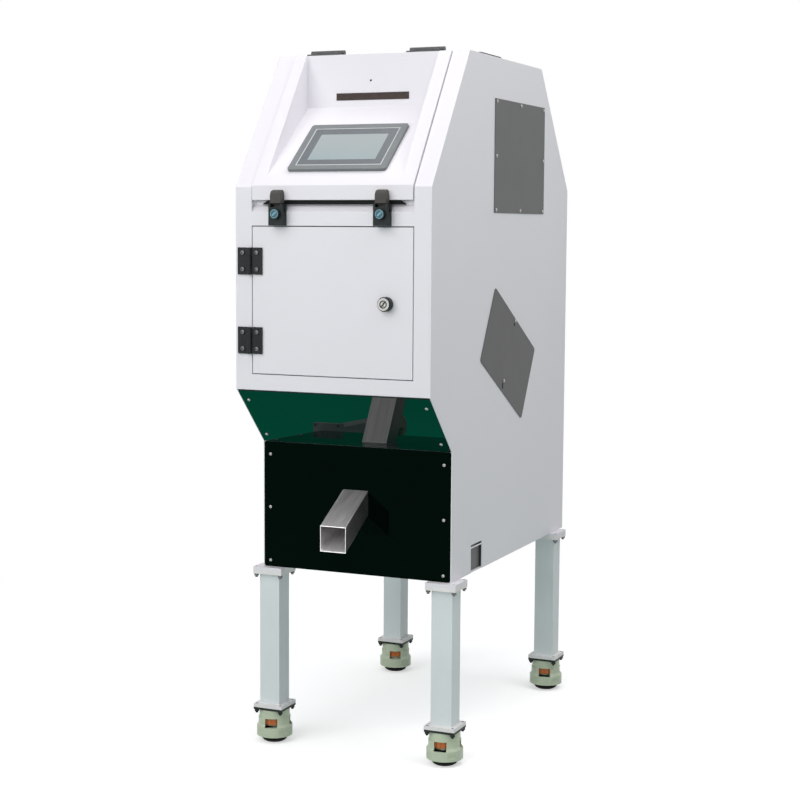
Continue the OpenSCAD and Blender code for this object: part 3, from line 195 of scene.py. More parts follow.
class SorterColours(bpy.types.PropertyGroup):
    """Colours of the finishes."""

    white_coat: colour("White coat", "Powder coat of the cabinet", (0.834, 0.812, 0.856))
    leg_coat: colour("Leg coat", "Powder coat of the legs", (0.755, 0.80, 0.81))
    # Painted light: the legs' end plates share the leg's coat, made paler for the light falling on
    # them
    plate_painted_light: colour("Plate painted light", "Plates at the ends of the legs", (0.84, 0.82, 0.81))
    cover_grey: colour("Cover grey", "Paint of the upper cover", (0.088, 0.092, 0.089))
    # Painted shade: the slanted cover has the upper cover's paint, made darker for the lower light
    # on it
    slanted_cover_painted_shade_grey: colour("Slanted cover shade grey", "Paint of the slanted cover", (0.064, 0.066, 0.065))
    hinge_black: colour("Hinge black", "Paint of the hinges", (0.014, 0.017, 0.017))
    hood_hinge: colour("Hood hinge", "Paint of the hood's hinges", (0.048, 0.053, 0.054))
    plate_grey: colour("Plate grey", "Paint of the caster plates", (0.02, 0.026, 0.022))
    # Painted reflection: the window is black gloss acrylic, and its green tone stands in for a
    # green floor's reflection
    window_green_reflection: colour("Window green reflection", "Slanted front window", (0.0015, 0.011, 0.008))
    # Partly painted reflection: the panel is black, and its slight green cast stands in for a green
    # floor's reflection
    panel_black: colour("Panel black", "Lower front panel", (0.0012, 0.0045, 0.003))
    latch_black: colour("Latch black", "Latch bases, lock collar and wheels", (0.012, 0.018, 0.018))
    latch_cap: colour("Latch cap", "Keepers on the hood", (0.065, 0.06, 0.057))
    disc_blue: colour("Disc blue", "Discs on the latches", (0.018, 0.095, 0.14))
    rubber: colour("Rubber", "Seals and foot pads", (0.012, 0.012, 0.012))
    ivory: colour("Ivory", "Caster housings", (0.56, 0.63, 0.47))
    orange: colour("Orange", "Caster dials", (0.55, 0.15, 0.025))
    bezel: colour("Bezel", "Frame of the touch panel", (0.17, 0.185, 0.19))
    border: colour("Border", "Border round the lit area", (0.125, 0.14, 0.155))
    lit_high: colour("Display top", "Upper part of the display", (0.33, 0.37, 0.38))
    lit_low: colour("Display bottom", "Lower part of the display", (0.29, 0.36, 0.375))
    brown: colour("Brown", "Strip in the recess", (0.028, 0.012, 0.008))
    stainless: colour("Stainless", "Brushed stainless sheet", (0.86, 0.84, 0.84))
    # Painted shade: the spout's sides take a darker stainless than the same sheet elsewhere,
    # standing in for shade on them
    painted_shade_stainless: colour("Painted shade stainless", "Sides of the outlet spout", (0.40, 0.40, 0.40))
    zinc: colour("Zinc", "Screws and bolts", (0.40, 0.40, 0.39))
    # Partly painted shade: the leg bolts are made this dark for the shade under the legs; the hinge
    # screws are dark socket screws
    dark_zinc_and_shade: colour("Dark zinc and shade", "Bolts of the legs and screws of the hinges", (0.14, 0.14, 0.14))
    aluminium: colour("Aluminium", "Chute and optics", (0.66, 0.67, 0.69))
    casting: colour("Casting", "Feeder drive", (0.22, 0.24, 0.25))
    # Painted highlight: the pale ring and bar on a latch disc stand in for light caught by the knob
    disc_painted_highlight: colour("Disc highlights", "Ring and bar on the latch discs", (0.17, 0.40, 0.48))
    # Painted highlight: colour of the line along the bezel's step
    bezel_highlight_pale: colour("Bezel highlight line", "Thin line inside the bezel", (0.55, 0.57, 0.58))
    lamp_lens: colour("Lamp lens", "Light bars", (0.82, 0.84, 0.85))
    floor_green: colour("Floor green", "Floor as the glossy window mirrors it", (0.0077, 1.0, 0.56))


def sizes():
    return bpy.context.scene.sorter_sizes


def colours():
    return bpy.context.scene.sorter_colours


# Finishes


def add_noise(tree, vector, scale, detail):
    noise = tree.nodes.new("ShaderNodeTexNoise")
    noise.inputs["Scale"].default_value = scale
    noise.inputs["Detail"].default_value = detail
    tree.links.new(vector, noise.inputs["Vector"])
    return noise.outputs["Fac"]


def shade(tone, factor):
    return [min(1.0, c * factor) for c in tone] + [1.0]


def surface(name, tone, roughness, metallic=0.0, specular=0.5, tint=None, drift=0.04, patch=6.0,
            grain=600.0, relief=0.00004, spread=0.06, stretch=None, turn=0.0):
    """A finish whose tone drifts in patches and whose gloss and relief follow a fine grain.

    A stretch draws the grain out into brush lines along the depth, turned up by an angle.
    """
    made = bpy.data.materials.get(name)
    if made:
        return made
    made = bpy.data.materials.new(name)
    made.use_nodes = True
    tree = made.node_tree
    shader = tree.nodes["Principled BSDF"]
    shader.inputs["Metallic"].default_value = metallic
    shader.inputs["Specular IOR Level"].default_value = specular
    if tint:
        shader.inputs["Specular Tint"].default_value = (*tint, 1.0)
    vector = tree.nodes.new("ShaderNodeTexCoord").outputs["Object"]
    if stretch:
        lines = tree.nodes.new("ShaderNodeMapping")
        lines.vector_type = "TEXTURE"
        lines.inputs["Rotation"].default_value = (turn, 0.0, 0.0)
        lines.inputs["Scale"].default_value = (1.0, stretch, 1.0)
        tree.links.new(vector, lines.inputs["Vector"])
        vector = lines.outputs["Vector"]
    ramp = tree.nodes.new("ShaderNodeValToRGB")
    ramp.color_ramp.elements[0].position = 0.3
    ramp.color_ramp.elements[0].color = shade(tone, 1 - drift)
    ramp.color_ramp.elements[1].position = 0.7
    ramp.color_ramp.elements[1].color = shade(tone, 1 + drift)
    tree.links.new(add_noise(tree, vector, patch, 4.0), ramp.inputs["Fac"])
    tree.links.new(ramp.outputs["Color"], shader.inputs["Base Color"])
    fine = add_noise(tree, vector, grain, 2.0)
    shader.inputs["Roughness"].default_value = roughness
    if roughness > 0:
        gloss = tree.nodes.new("ShaderNodeMapRange")
        gloss.inputs["From Min"].default_value = 0.3
        gloss.inputs["From Max"].default_value = 0.7
        gloss.inputs["To Min"].default_value = max(0.02, roughness - spread)
        gloss.inputs["To Max"].default_value = min(1.0, roughness + spread)
        tree.links.new(fine, gloss.inputs["Value"])
        tree.links.new(gloss.outputs["Result"], shader.inputs["Roughness"])
    bump = tree.nodes.new("ShaderNodeBump")
    bump.inputs["Strength"].default_value = 0.5
    bump.inputs["Distance"].default_value = relief
    tree.links.new(fine, bump.inputs["Height"])
    tree.links.new(bump.outputs["Normal"], shader.inputs["Normal"])
    return made


def white_coat():
    return surface("white_powder_coat", colours().white_coat, 0.42, drift=0.012, grain=420.0,
                   relief=0.00003, patch=3.0)


def leg_coat():
    return surface("leg_powder_coat", colours().leg_coat, 0.45, drift=0.03, grain=420.0,
                   relief=0.00003, patch=9.0)


# Painted light: a paler coat for the plates at the ends of the legs
def plate_painted_light():
    return surface("plate_painted_light_coat", colours().plate_painted_light, 0.45, drift=0.05, grain=420.0,
                   relief=0.00003, patch=30.0)


def cover_grey():
    return surface("cover_grey_paint", colours().cover_grey, 0.5, drift=0.06, grain=900.0,
                   relief=0.00005, patch=14.0)


# Painted shade: the upper cover's grey made darker for the slanted cover
def slanted_cover_painted_shade_grey():
    return surface("slanted_cover_shade_paint", colours().slanted_cover_painted_shade_grey, 0.5, drift=0.06, grain=900.0,
                   relief=0.00005, patch=14.0)


def hinge_black():
    return surface("hinge_black_paint", colours().hinge_black, 0.38, specular=0.2, drift=0.15,
                   grain=1400.0, relief=0.00005, patch=40.0)


def hood_hinge():
    return surface("hood_hinge_paint", colours().hood_hinge, 0.38, drift=0.15, grain=1400.0,
                   relief=0.00005, patch=40.0)


def plate_grey():
    return surface("caster_plate_paint", colours().plate_grey, 0.5, specular=0.2, drift=0.2,
                   grain=900.0, relief=0.00006, patch=30.0)


def stainless():
    return surface("brushed_stainless", colours().stainless, 0.45, metallic=1.0, drift=0.10,
                   patch=260.0, grain=900.0, relief=0.00003, spread=0.10, stretch=60.0,
                   turn=BRUSH_ANGLE)


# Painted shade: a darker copy of the brushed stainless for the spout's shaded sides
def painted_shade_stainless():
    return surface("painted_shade_stainless", colours().painted_shade_stainless, 0.4, metallic=1.0, drift=0.12,
                   patch=260.0, grain=900.0, relief=0.00003, spread=0.10, stretch=60.0,
                   turn=BRUSH_ANGLE)


def zinc():
    return surface("zinc_plate", colours().zinc, 0.3, metallic=1.0, drift=0.08, patch=120.0,
                   grain=1500.0, relief=0.00002, spread=0.1)


# Partly painted shade: dark zinc for the hinge screws, and for the leg bolts in place of their
# shade
def dark_zinc_and_shade():
    return surface("dark_zinc_and_shade_plate", colours().dark_zinc_and_shade, 0.35, metallic=1.0, drift=0.15,
                   patch=150.0, grain=1500.0, relief=0.00003, spread=0.1)


def aluminium():
    return surface("satin_aluminium", colours().aluminium, 0.4, metallic=1.0, drift=0.05,
                   patch=150.0, grain=1200.0, relief=0.00002, stretch=25.0)


def casting():
    return surface("cast_drive", colours().casting, 0.6, drift=0.12, grain=350.0,
                   relief=0.00025, patch=25.0)


# Painted reflection: black gloss acrylic given a green tone in place of a green floor's reflection
def window_green_reflection():
    return surface("window_gloss", colours().window_green_reflection, 0.0, specular=0.25, drift=0.3,
                   grain=12.0, relief=0.000004)


# Partly painted reflection: black gloss with a green cast in place of a green floor's reflection
def panel_black():
    return surface("panel_gloss", colours().panel_black, 0.0, metallic=1.0, tint=(0.5, 0.5, 0.5),
                   drift=0.1, grain=12.0, relief=0.000004)


def latch_black():
    return surface("latch_black_plastic", colours().latch_black, 0.42, specular=0.2, drift=0.12,
                   grain=1600.0, relief=0.00006, patch=60.0)


def latch_cap():
    return surface("latch_cap_plastic", colours().latch_cap, 0.5, specular=0.25, drift=0.1,
                   grain=1600.0, relief=0.00008, patch=60.0)


def disc_blue():
    return surface("latch_disc_plastic", colours().disc_blue, 0.3, drift=0.12, grain=900.0,
                   relief=0.00004, patch=180.0)


# Painted highlight: pale plastic for the ring and bar on the latch discs
def disc_painted_highlight():
    return surface("latch_highlight_plastic", colours().disc_painted_highlight, 0.3, drift=0.15, grain=900.0,
                   relief=0.00004, patch=180.0)


# Painted highlight: pale plastic for the line along the bezel's step
def bezel_highlight_pale():
    return surface("bezel_highlight_line_plastic", colours().bezel_highlight_pale, 0.4, drift=0.06, grain=1500.0,
                   relief=0.00002, patch=60.0)


def rubber():
    return surface("black_rubber", colours().rubber, 0.7, specular=0.15, drift=0.2, grain=800.0,
                   relief=0.0001, patch=40.0)


def ivory():
    return surface("ivory_enamel", colours().ivory, 0.38, drift=0.06, grain=300.0,
                   relief=0.0001, patch=30.0)


def orange():
    return surface("orange_plastic", colours().orange, 0.35, drift=0.12, grain=900.0,
                   relief=0.00005, patch=60.0)


def bezel():
    return surface("bezel_plastic", colours().bezel, 0.45, drift=0.05, grain=1500.0,
                   relief=0.00005, patch=25.0)


def border():
    return surface("display_border", colours().border, 0.25, drift=0.04, grain=1500.0,
                   relief=0.00001, patch=20.0)


def brown():
    return surface("strip_gloss", colours().brown, 0.3, specular=0.25, drift=0.45, grain=500.0,
                   relief=0.00008, patch=70.0)


def lamp_lens():
    return surface("lamp_lens", colours().lamp_lens, 0.3, drift=0.03, grain=700.0,
                   relief=0.00004, patch=30.0)


def display():
    """The display's glass, pale at the top and bluish at the bottom, with a faint mottle."""
    made = bpy.data.materials.get("display_glass")
    if made:
        return made
    low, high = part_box("touch_screen")
    made = bpy.data.materials.new("display_glass")
    made.use_nodes = True
    tree = made.node_tree
    shader = tree.nodes["Principled BSDF"]
    shader.inputs["Coat Weight"].default_value = 0.4
    shader.inputs["Coat Roughness"].default_value = 0.04
    vector = tree.nodes.new("ShaderNodeTexCoord").outputs["Object"]
    axes = tree.nodes.new("ShaderNodeSeparateXYZ")
    tree.links.new(vector, axes.inputs["Vector"])
    height = tree.nodes.new("ShaderNodeMapRange")
    height.inputs["From Min"].default_value = low.z
    height.inputs["From Max"].default_value = high.z
    tree.links.new(axes.outputs["Z"], height.inputs["Value"])
    mottle = tree.nodes.new("ShaderNodeMath")
    mottle.operation = "MULTIPLY_ADD"
    mottle.inputs[1].default_value = 0.5
    tree.links.new(add_noise(tree, vector, 16.0, 3.0), mottle.inputs[0])
    tree.links.new(height.outputs["Result"], mottle.inputs[2])
    ramp = tree.nodes.new("ShaderNodeValToRGB")
    ramp.color_ramp.elements[0].position = 0.4
    ramp.color_ramp.elements[0].color = (*colours().lit_low, 1.0)
    ramp.color_ramp.elements[1].position = 0.95
    ramp.color_ramp.elements[1].color = (*colours().lit_high, 1.0)
    tree.links.new(mottle.outputs["Value"], ramp.inputs["Fac"])
    tree.links.new(ramp.outputs["Color"], shader.inputs["Base Color"])
    shader.inputs["Roughness"].default_value = 0.12
    return made


FINISH = {
    "white_paint": white_coat,
    "leg_paint": leg_coat,
    "grey_paint": cover_grey,
    "dark_metal": hinge_black,
    "stainless": stainless,
    "steel": zinc,
    "aluminium": aluminium,
    "cast_iron": casting,
    "green_acrylic": window_green_reflection,
    "black_acrylic": panel_black,
    "black_plastic": latch_black,
    "latch_grey": latch_cap,
    "rubber": rubber,
    "ivory": ivory,
    "orange": orange,
    "bezel": bezel,
    "screen": border,
    "brown_plastic": brown,
}


# Modelling by hand


def take(*pieces):
    """Object mode with only these pieces selected, the first one active."""
    if bpy.context.object and bpy.context.object.mode != "OBJECT":
        bpy.ops.object.mode_set(mode="OBJECT")
    bpy.ops.object.select_all(action="DESELECT")
    for piece in pieces:
        piece.select_set(True)
    if pieces:
        bpy.context.view_layer.objects.active = pieces[0]


def named(name):
    piece = bpy.context.object
    piece.name = name
    piece.data.name = name
    return piece


def settle(piece):
    """Puts the piece's place into its mesh, with the object at the origin."""
    take(piece)
    bpy.ops.object.transform_apply(location=True, rotation=True, scale=True)
    return piece


def choose(piece, kind, test):
    """Edit mode with the faces or edges selected that pass a test."""
    take(piece)
    bpy.ops.object.mode_set(mode="EDIT")
    bpy.ops.mesh.select_mode(type=kind)
    bpy.ops.mesh.select_all(action="DESELECT")
    form = bmesh.from_edit_mesh(piece.data)
    items = form.faces if kind == "FACE" else form.edges
    form.normal_update()
    for item in items:
        if test(item):
            item.select_set(True)
    bmesh.update_edit_mesh(piece.data)


def sharp(edge):
    return edge.is_manifold and edge.calc_face_angle(0.0) > SHARP_ANGLE


def leave():
    bpy.ops.object.mode_set(mode="OBJECT")


def use_modifier(piece, kind, **settings):
    take(piece)
    modifier = piece.modifiers.new(kind.lower(), kind)
    for key, value in settings.items():
        setattr(modifier, key, value)
    bpy.ops.object.modifier_apply(modifier=modifier.name)


def smooth(piece):
    """Even shading on flat faces and soft shading over the rounded edges."""
    take(piece)
    bpy.ops.object.shade_smooth_by_angle(angle=SMOOTH_ANGLE)
    use_modifier(piece, "WEIGHTED_NORMAL", keep_sharp=True, weight=100)


def round_edges(piece, width, segments=2, test=sharp):
    choose(piece, "EDGE", test)
    bpy.ops.mesh.bevel(offset=width, segments=segments, affect="EDGES", clamp_overlap=True)
    leave()


def cut(piece, tool):
    """Takes the tool's shape out of a piece and removes the tool."""
    use_modifier(piece, "BOOLEAN", operation="DIFFERENCE", object=tool, solver="EXACT")
    bpy.data.objects.remove(tool)


def box_between(name, low, high):
    middle = (low + high) / 2
    take()
    bpy.ops.mesh.primitive_cube_add(size=1.0, location=middle)
    piece = named(name)
    piece.scale = high - low
    return settle(piece)


def rod(name, start, axis, radius, span, sides=32):
    """A cylinder from a start point along an axis."""
    take()
    bpy.ops.mesh.primitive_cylinder_add(
        vertices=sides, radius=radius, depth=span, location=start + axis * span / 2,
        rotation=UP.rotation_difference(axis).to_euler(),
    )
    return settle(named(name))


def flat_ring(name, middle, axis, radius, width, height):
    """A flat ring that stands on a point along an axis."""
    ring = rod(name, middle, axis, radius, height, 40)
    bore = rod("bore_tool", middle - axis * height, axis, radius - width, height * 3, 40)
    cut(ring, bore)
    smooth(ring)
    return ring


def slant_bar(name, middle, half_length, half_width, height, angle):
    """A slim bar on a front face, turned in the face by an angle."""
    reach = Vector((half_length, 0, half_width))
    bar = box_between(name, -reach + FORWARD * height, reach + BACKWARD * height / 2)
    round_edges(bar, height / 3)
    bar.rotation_euler = (0.0, math.radians(angle), 0.0)
    bar.location = middle
    settle(bar)
    smooth(bar)
    return bar


def copies(master, name, spots):
    """Copies of a piece modelled along Z, set on points along directions, as one piece."""
    made = []
    for number, (point, direction) in enumerate(spots):
        mesh = master.data.copy()
        turn = UP.rotation_difference(direction).to_matrix().to_4x4()
        mesh.transform(Matrix.Translation(point) @ turn)
        piece = bpy.data.objects.new(f"{name}_{number}", mesh)
        bpy.context.collection.objects.link(piece)
        made.append(piece)
    take(*made)
    if len(made) > 1:
        bpy.ops.object.join()
    return named(name)


def finish(piece, body, material, stands_for=()):
    """Gives a piece its material, its body and the nodes that it stands for."""
    if material and not piece.data.materials:
        piece.data.materials.append(material)
    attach(piece, body)
    if stands_for:
        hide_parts(*stands_for)
    return piece


def fresh_copy(node):
    """A closed copy of a node's mesh, with flat faces in one piece."""
    mesh = frame["nodes"][node].data.copy()
    mesh.materials.clear()
    piece = bpy.data.objects.new(f"{node}_finish", mesh)
    bpy.context.collection.objects.link(piece)
    take(piece)
    bpy.ops.object.mode_set(mode="EDIT")
    bpy.ops.mesh.select_all(action="SELECT")
    bpy.ops.mesh.remove_doubles(threshold=WELD)
    bpy.ops.mesh.dissolve_limited(angle_limit=FLAT_ANGLE)
    leave()
    return piece


def dress(node, width, segments=2, test=sharp, material=None):
    """A copy of a node with rounded edges and its finish, which stands for the node."""
    piece = fresh_copy(node)
    if width:
        round_edges(piece, width, segments, test)
    smooth(piece)
    material = material or FINISH[SLOTS[node]]()
    return finish(piece, BODY_OF[node], material, [node])


def second_finish(piece, material, test):
    """Gives the faces that pass a test a finish of their own."""
    piece.data.materials.append(material)
    for face in piece.data.polygons:
        if test(face):
            face.material_index = len(piece.data.materials) - 1


def off_seam(edge):
    """A sharp edge that doesn't lie on the seam between the side panels and the bent sheet."""
    on_seam = all(abs(abs(v.co.x) - SIDE_SEAM) < 0.0001 for v in edge.verts)
    return sharp(edge) and not on_seam


# Pieces


class SorterOperator:
    """Common settings of the operators."""

    bl_options = {"REGISTER", "UNDO"}


class SORTER_OT_cabinet(SorterOperator, bpy.types.Operator):
    """Rounds and paints the cabinet's sheet metal"""

    bl_idname = "sorter.cabinet"
    bl_label = "Cabinet sheet"

    def execute(self, context):
        for node in ("left_side_panel", "right_side_panel", "front_frame", "top_panel",
                     "rear_panel", "base_frame"):
            dress(node, sizes().sheet_edge, 3, off_seam)
        low, high = (place(0, y, z) for y, z in zip(NOTCH_PLATE_Y, NOTCH_PLATE_Z))
        low.x, high.x = (SIDE_SEAM - depth * MM for depth in NOTCH_PLATE_DEPTH)
        plate = box_between("notch_plate", low, high)
        choose(plate, "FACE", lambda f: f.normal.x > FACING)
        bpy.ops.mesh.inset(thickness=0.005, depth=0.0)
        bpy.ops.mesh.inset(thickness=0.001, depth=-0.0003)
        leave()
        round_edges(plate, sizes().small_edge / 2)
        smooth(plate)
        finish(plate, "cabinet", cover_grey())
        return {"FINISHED"}


class SORTER_OT_front_panels(SorterOperator, bpy.types.Operator):
    """Polishes the slanted window and the lower front panel"""

    bl_idname = "sorter.front_panels"
    bl_label = "Front panels"

    def execute(self, context):
        # Both panels carry a green tone that is a painted reflection of a green floor
        for node in ("green_window", "lower_front_panel"):
            dress(node, sizes().small_edge / 2)
        return {"FINISHED"}


class SORTER_OT_covers(SorterOperator, bpy.types.Operator):
    """Paints the grey side covers"""

    bl_idname = "sorter.covers"
    bl_label = "Side covers"

    def execute(self, context):
        dress("upper_side_cover", sizes().small_edge)
        # The slanted cover gets the darker grey: painted shade
        dress("slanted_side_cover", sizes().small_edge, material=slanted_cover_painted_shade_grey())
        # Flat black pieces under the screws: painted shade in keyhole slot openings
        half_w = sizes().cover_slot_shade / 2
        for name, y, z, half_h in SLANTED_COVER_SLOT_SHADES:
            spot = place(COVER_FACE_X, y, z)
            reach = Vector((0.0002, half_w, half_h * MM))
            slot = box_between(f"cover_slot_shade_{name}", spot - reach, spot + reach)
            round_edges(slot, half_w * 0.9, 4, lambda e: e.verts[0].co.yz == e.verts[1].co.yz)
            smooth(slot)
            finish(slot, "cabinet", rubber())
        return {"FINISHED"}


class SORTER_OT_spout(SorterOperator, bpy.types.Operator):
    """Brushes the outlet spout"""

    bl_idname = "sorter.spout"
    bl_label = "Outlet spout"

    def execute(self, context):
        spout = dress("outlet_spout", sizes().small_edge)
        reach = sizes().spout_w / 2 - 0.001
        # The spout's side faces get the darker stainless: painted shade
        second_finish(
            spout, painted_shade_stainless(), lambda f: abs(f.normal.x) > FACING and abs(f.center.x) > reach
        )
        return {"FINISHED"}


class SORTER_OT_hood(SorterOperator, bpy.types.Operator):
    """Rounds and paints the hood, its strip and its seal"""

    bl_idname = "sorter.hood"
    bl_label = "Hood"

    def execute(self, context):
        dress("hood_shell", sizes().sheet_edge, 3)
        dress("dark_strip", sizes().small_edge / 2)
        dress("hood_seal", sizes().small_edge)
        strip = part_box("dark_strip")[1]
        spot = Vector((-0.004, strip.y, strip.z + 0.026))
        plug = rod("recess_plug", spot, FORWARD, sizes().plug / 2, sizes().plug_h, 16)
        round_edges(plug, sizes().plug_h / 2)
        smooth(plug)
        finish(plug, "hood", rubber())
        return {"FINISHED"}


class SORTER_OT_display(SorterOperator, bpy.types.Operator):
    """Models the touch panel's glass with its lit area and finishes the bezel"""

    bl_idname = "sorter.display"
    bl_label = "Touch panel"

    def execute(self, context):
        dress("touch_panel", sizes().small_edge * 2)
        piece = fresh_copy("touch_screen")
        low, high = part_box("touch_screen")
        glass_w = high.x - low.x
        ledge = Vector((0, low.z - high.z, high.y - low.y)).normalized()
        choose(piece, "FACE", lambda f: f.normal.z > 0.5 and f.calc_area() > 0.01)
        bpy.ops.mesh.inset(thickness=(glass_w - sizes().display_w) / 2, depth=0.0)
        bpy.ops.mesh.inset(thickness=0.0008, depth=-0.0004)
        leave()
        piece.data.materials.append(border())
        piece.data.materials.append(display())
        lit = max((f for f in piece.data.polygons if f.select), key=lambda f: f.area)
        lit.material_index = 1
        finish(piece, BODY_OF["touch_screen"], None, ["touch_screen"])
        # A pale line round the glass inside the bezel: a painted highlight on the bezel's step
        line = fresh_copy("touch_screen")
        line.name = "bezel_highlight_line"
        choose(line, "FACE", lambda f: f.normal.z > 0.5 and f.calc_area() > 0.01)
        bpy.ops.mesh.inset(thickness=sizes().bezel_highlight_line, depth=0.0)
        bpy.ops.mesh.delete(type="FACE")
        choose(line, "FACE", lambda f: f.normal.dot(ledge) < FACING)
        bpy.ops.mesh.delete(type="FACE")
        leave()
        use_modifier(line, "SOLIDIFY", thickness=sizes().line_h, offset=1.0)
        finish(line, BODY_OF["touch_screen"], bezel_highlight_pale())
        return {"FINISHED"}


class SORTER_OT_latches(SorterOperator, bpy.types.Operator):
    """Rounds the latches and sets a disc in each knob"""

    bl_idname = "sorter.latches"
    bl_label = "Latches"

    def execute(self, context):
        dress("latch_bases", sizes().small_edge)
        dress("latch_keepers", sizes().small_edge * 2, 3)
        radius, gap = sizes().disc / 2, sizes().disc_gap
        for side in ("left", "right"):
            node = f"latch_knob_{side}"
            knob = fresh_copy(node)
            low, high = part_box(node)
            reach = (high.z - low.z) / 2
            centre = Vector((low.x + reach, low.y, (low.z + high.z) / 2))
            rim = low.y + 0.0005
            choose(knob, "FACE", lambda f: f.normal.y < -FACING and f.calc_center_median().y < rim)
            bpy.ops.mesh.inset(thickness=reach - radius, depth=0.0)
            bpy.ops.mesh.inset(thickness=0.0002, depth=-sizes().disc_recess)
            leave()
            smooth(knob)
            finish(knob, BODY_OF[node], latch_black(), [node])
            seat = centre + BACKWARD * sizes().disc_recess
            disc = rod(f"latch_disc_{side}", seat, FORWARD, radius - gap, sizes().disc_h, 40)
            round_edges(disc, sizes().small_edge / 2)
            smooth(disc)
            finish(disc, BODY_OF[node], disc_blue())
            # The pale ring and bar on the disc are painted highlights
            face = seat + FORWARD * sizes().disc_h
            ring = flat_ring(
                f"latch_ring_{side}", face, FORWARD, radius - gap * 2, sizes().ring_w,
                sizes().ring_h,
            )
            finish(ring, BODY_OF[node], disc_painted_highlight())
            bar = slant_bar(f"latch_highlight_{side}", face, *LATCH_BAR)
            finish(bar, BODY_OF[node], disc_painted_highlight())
        return {"FINISHED"}


class SORTER_OT_door(SorterOperator, bpy.types.Operator):
    """Rounds and paints the door and finishes its lock"""

    bl_idname = "sorter.door"
    bl_label = "Door and lock"

    def execute(self, context):
        dress("door_panel", sizes().sheet_edge * 1.2, 3)
        dress("lock_body", sizes().small_edge * 2, 3)
        dress("lock_plug", sizes().small_edge)
        low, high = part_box("lock_body")
        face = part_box("lock_plug")[0].y
        middle = Vector(((low.x + high.x) / 2, face, (low.z + high.z) / 2))
        finish(flat_ring("lock_ring", middle, FORWARD, *LOCK_RING), "lock",
               latch_black())
        finish(slant_bar("lock_key_bar", middle, *LOCK_BAR), "lock",
               hinge_black())
        return {"FINISHED"}


class SORTER_OT_hinges(SorterOperator, bpy.types.Operator):
    """Rounds and paints the hinges"""

    bl_idname = "sorter.hinges"
    bl_label = "Hinges"

    def execute(self, context):
        for node in ("door_hinge_frame_leaves", "door_hinge_door_leaves"):
            dress(node, sizes().small_edge)
        for node in ("hood_hinge_top_leaves", "hood_hinge_hood_leaves"):
            dress(node, sizes().small_edge, material=hood_hinge())
        return {"FINISHED"}


class SORTER_OT_legs(SorterOperator, bpy.types.Operator):
    """Rounds and paints the legs and plates their bolts"""

    bl_idname = "sorter.legs"
    bl_label = "Legs"

    def execute(self, context):
        for corner in CORNERS:
            leg = dress(f"leg_{corner}", sizes().tube_edge)
            low, high = (point.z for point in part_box(f"leg_{corner}"))
            middle, reach = (low + high) / 2, (high - low) / 2 - sizes().plate_h
            # The faces of the end plates get the paler coat: painted light
            second_finish(leg, plate_painted_light(), lambda f: abs(f.center.z - middle) > reach)
        # The leg bolts get the dark zinc and their faces below the leg the caster plates'
        # near-black: painted shade under the legs
        bolts = dress("leg_bolts", sizes().small_edge / 2, material=dark_zinc_and_shade())
        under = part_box("leg_front_left")[0].z
        second_finish(bolts, plate_grey(), lambda f: f.center.z < under)
        dress("caster_plates", sizes().small_edge * 2, material=plate_grey())
        return {"FINISHED"}


class SORTER_OT_casters(SorterOperator, bpy.types.Operator):
    """Rounds and enamels the casters and finishes their wheels, dials and feet"""

    bl_idname = "sorter.casters"
    bl_label = "Casters"

    def execute(self, context):
        for corner in CORNERS:
            dress(f"caster_{corner}", sizes().cast_edge)
            dress(f"wheel_{corner}", sizes().small_edge * 2, 3)
            dress(f"dial_{corner}", sizes().small_edge)
            dress(f"foot_{corner}", sizes().small_edge)
        return {"FINISHED"}


class SORTER_OT_feeding(SorterOperator, bpy.types.Operator):
    """Finishes the feed hopper, its edge trim and the vibrating feeder"""

    bl_idname = "sorter.feeding"
    bl_label = "Feeding"

    def execute(self, context):
        dress("feed_hopper", sizes().small_edge / 2)
        dress("inlet_trim", sizes().small_edge)
        dress("feeder_tray", sizes().small_edge)
        dress("feeder_base", sizes().cast_edge)
        return {"FINISHED"}


class SORTER_OT_sorting(SorterOperator, bpy.types.Operator):
    """Finishes the chute, the optics, the ejectors and the hoppers"""

    bl_idname = "sorter.sorting"
    bl_label = "Sorting"

    def execute(self, context):
        for node in ("sorting_chute", "camera_boxes", "ejector_block", "accept_hopper",
                     "reject_hopper", "control_box"):
            dress(node, sizes().small_edge)
        dress("light_bars", sizes().small_edge, material=lamp_lens())
        return {"FINISHED"}


# Screws


def pan_screw(name, diameter, recess):
    """A screw head on the origin, with a cross or hex recess."""
    radius = diameter / 2
    rise = diameter * 0.36
    head = rod(name, Vector(), UP, radius, rise, 24)
    round_edges(head, rise * 0.62, 4, lambda e: min(v.co.z for v in e.verts) > rise * 0.9)
    depth = Vector((0, 0, rise * 0.45))
    if recess == "hex":
        cut(head, rod("recess_tool", depth, UP, radius * 0.5, rise, 6))
    else:
        for turn in (0.0, math.pi / 2):
            half = Vector((radius * 0.62, radius * 0.13, 0))
            tool = box_between("recess_tool", depth - half, depth + half + UP * rise)
            tool.rotation_euler = (0.0, 0.0, turn)
            settle(tool)
            cut(head, tool)
    smooth(head)
    return head


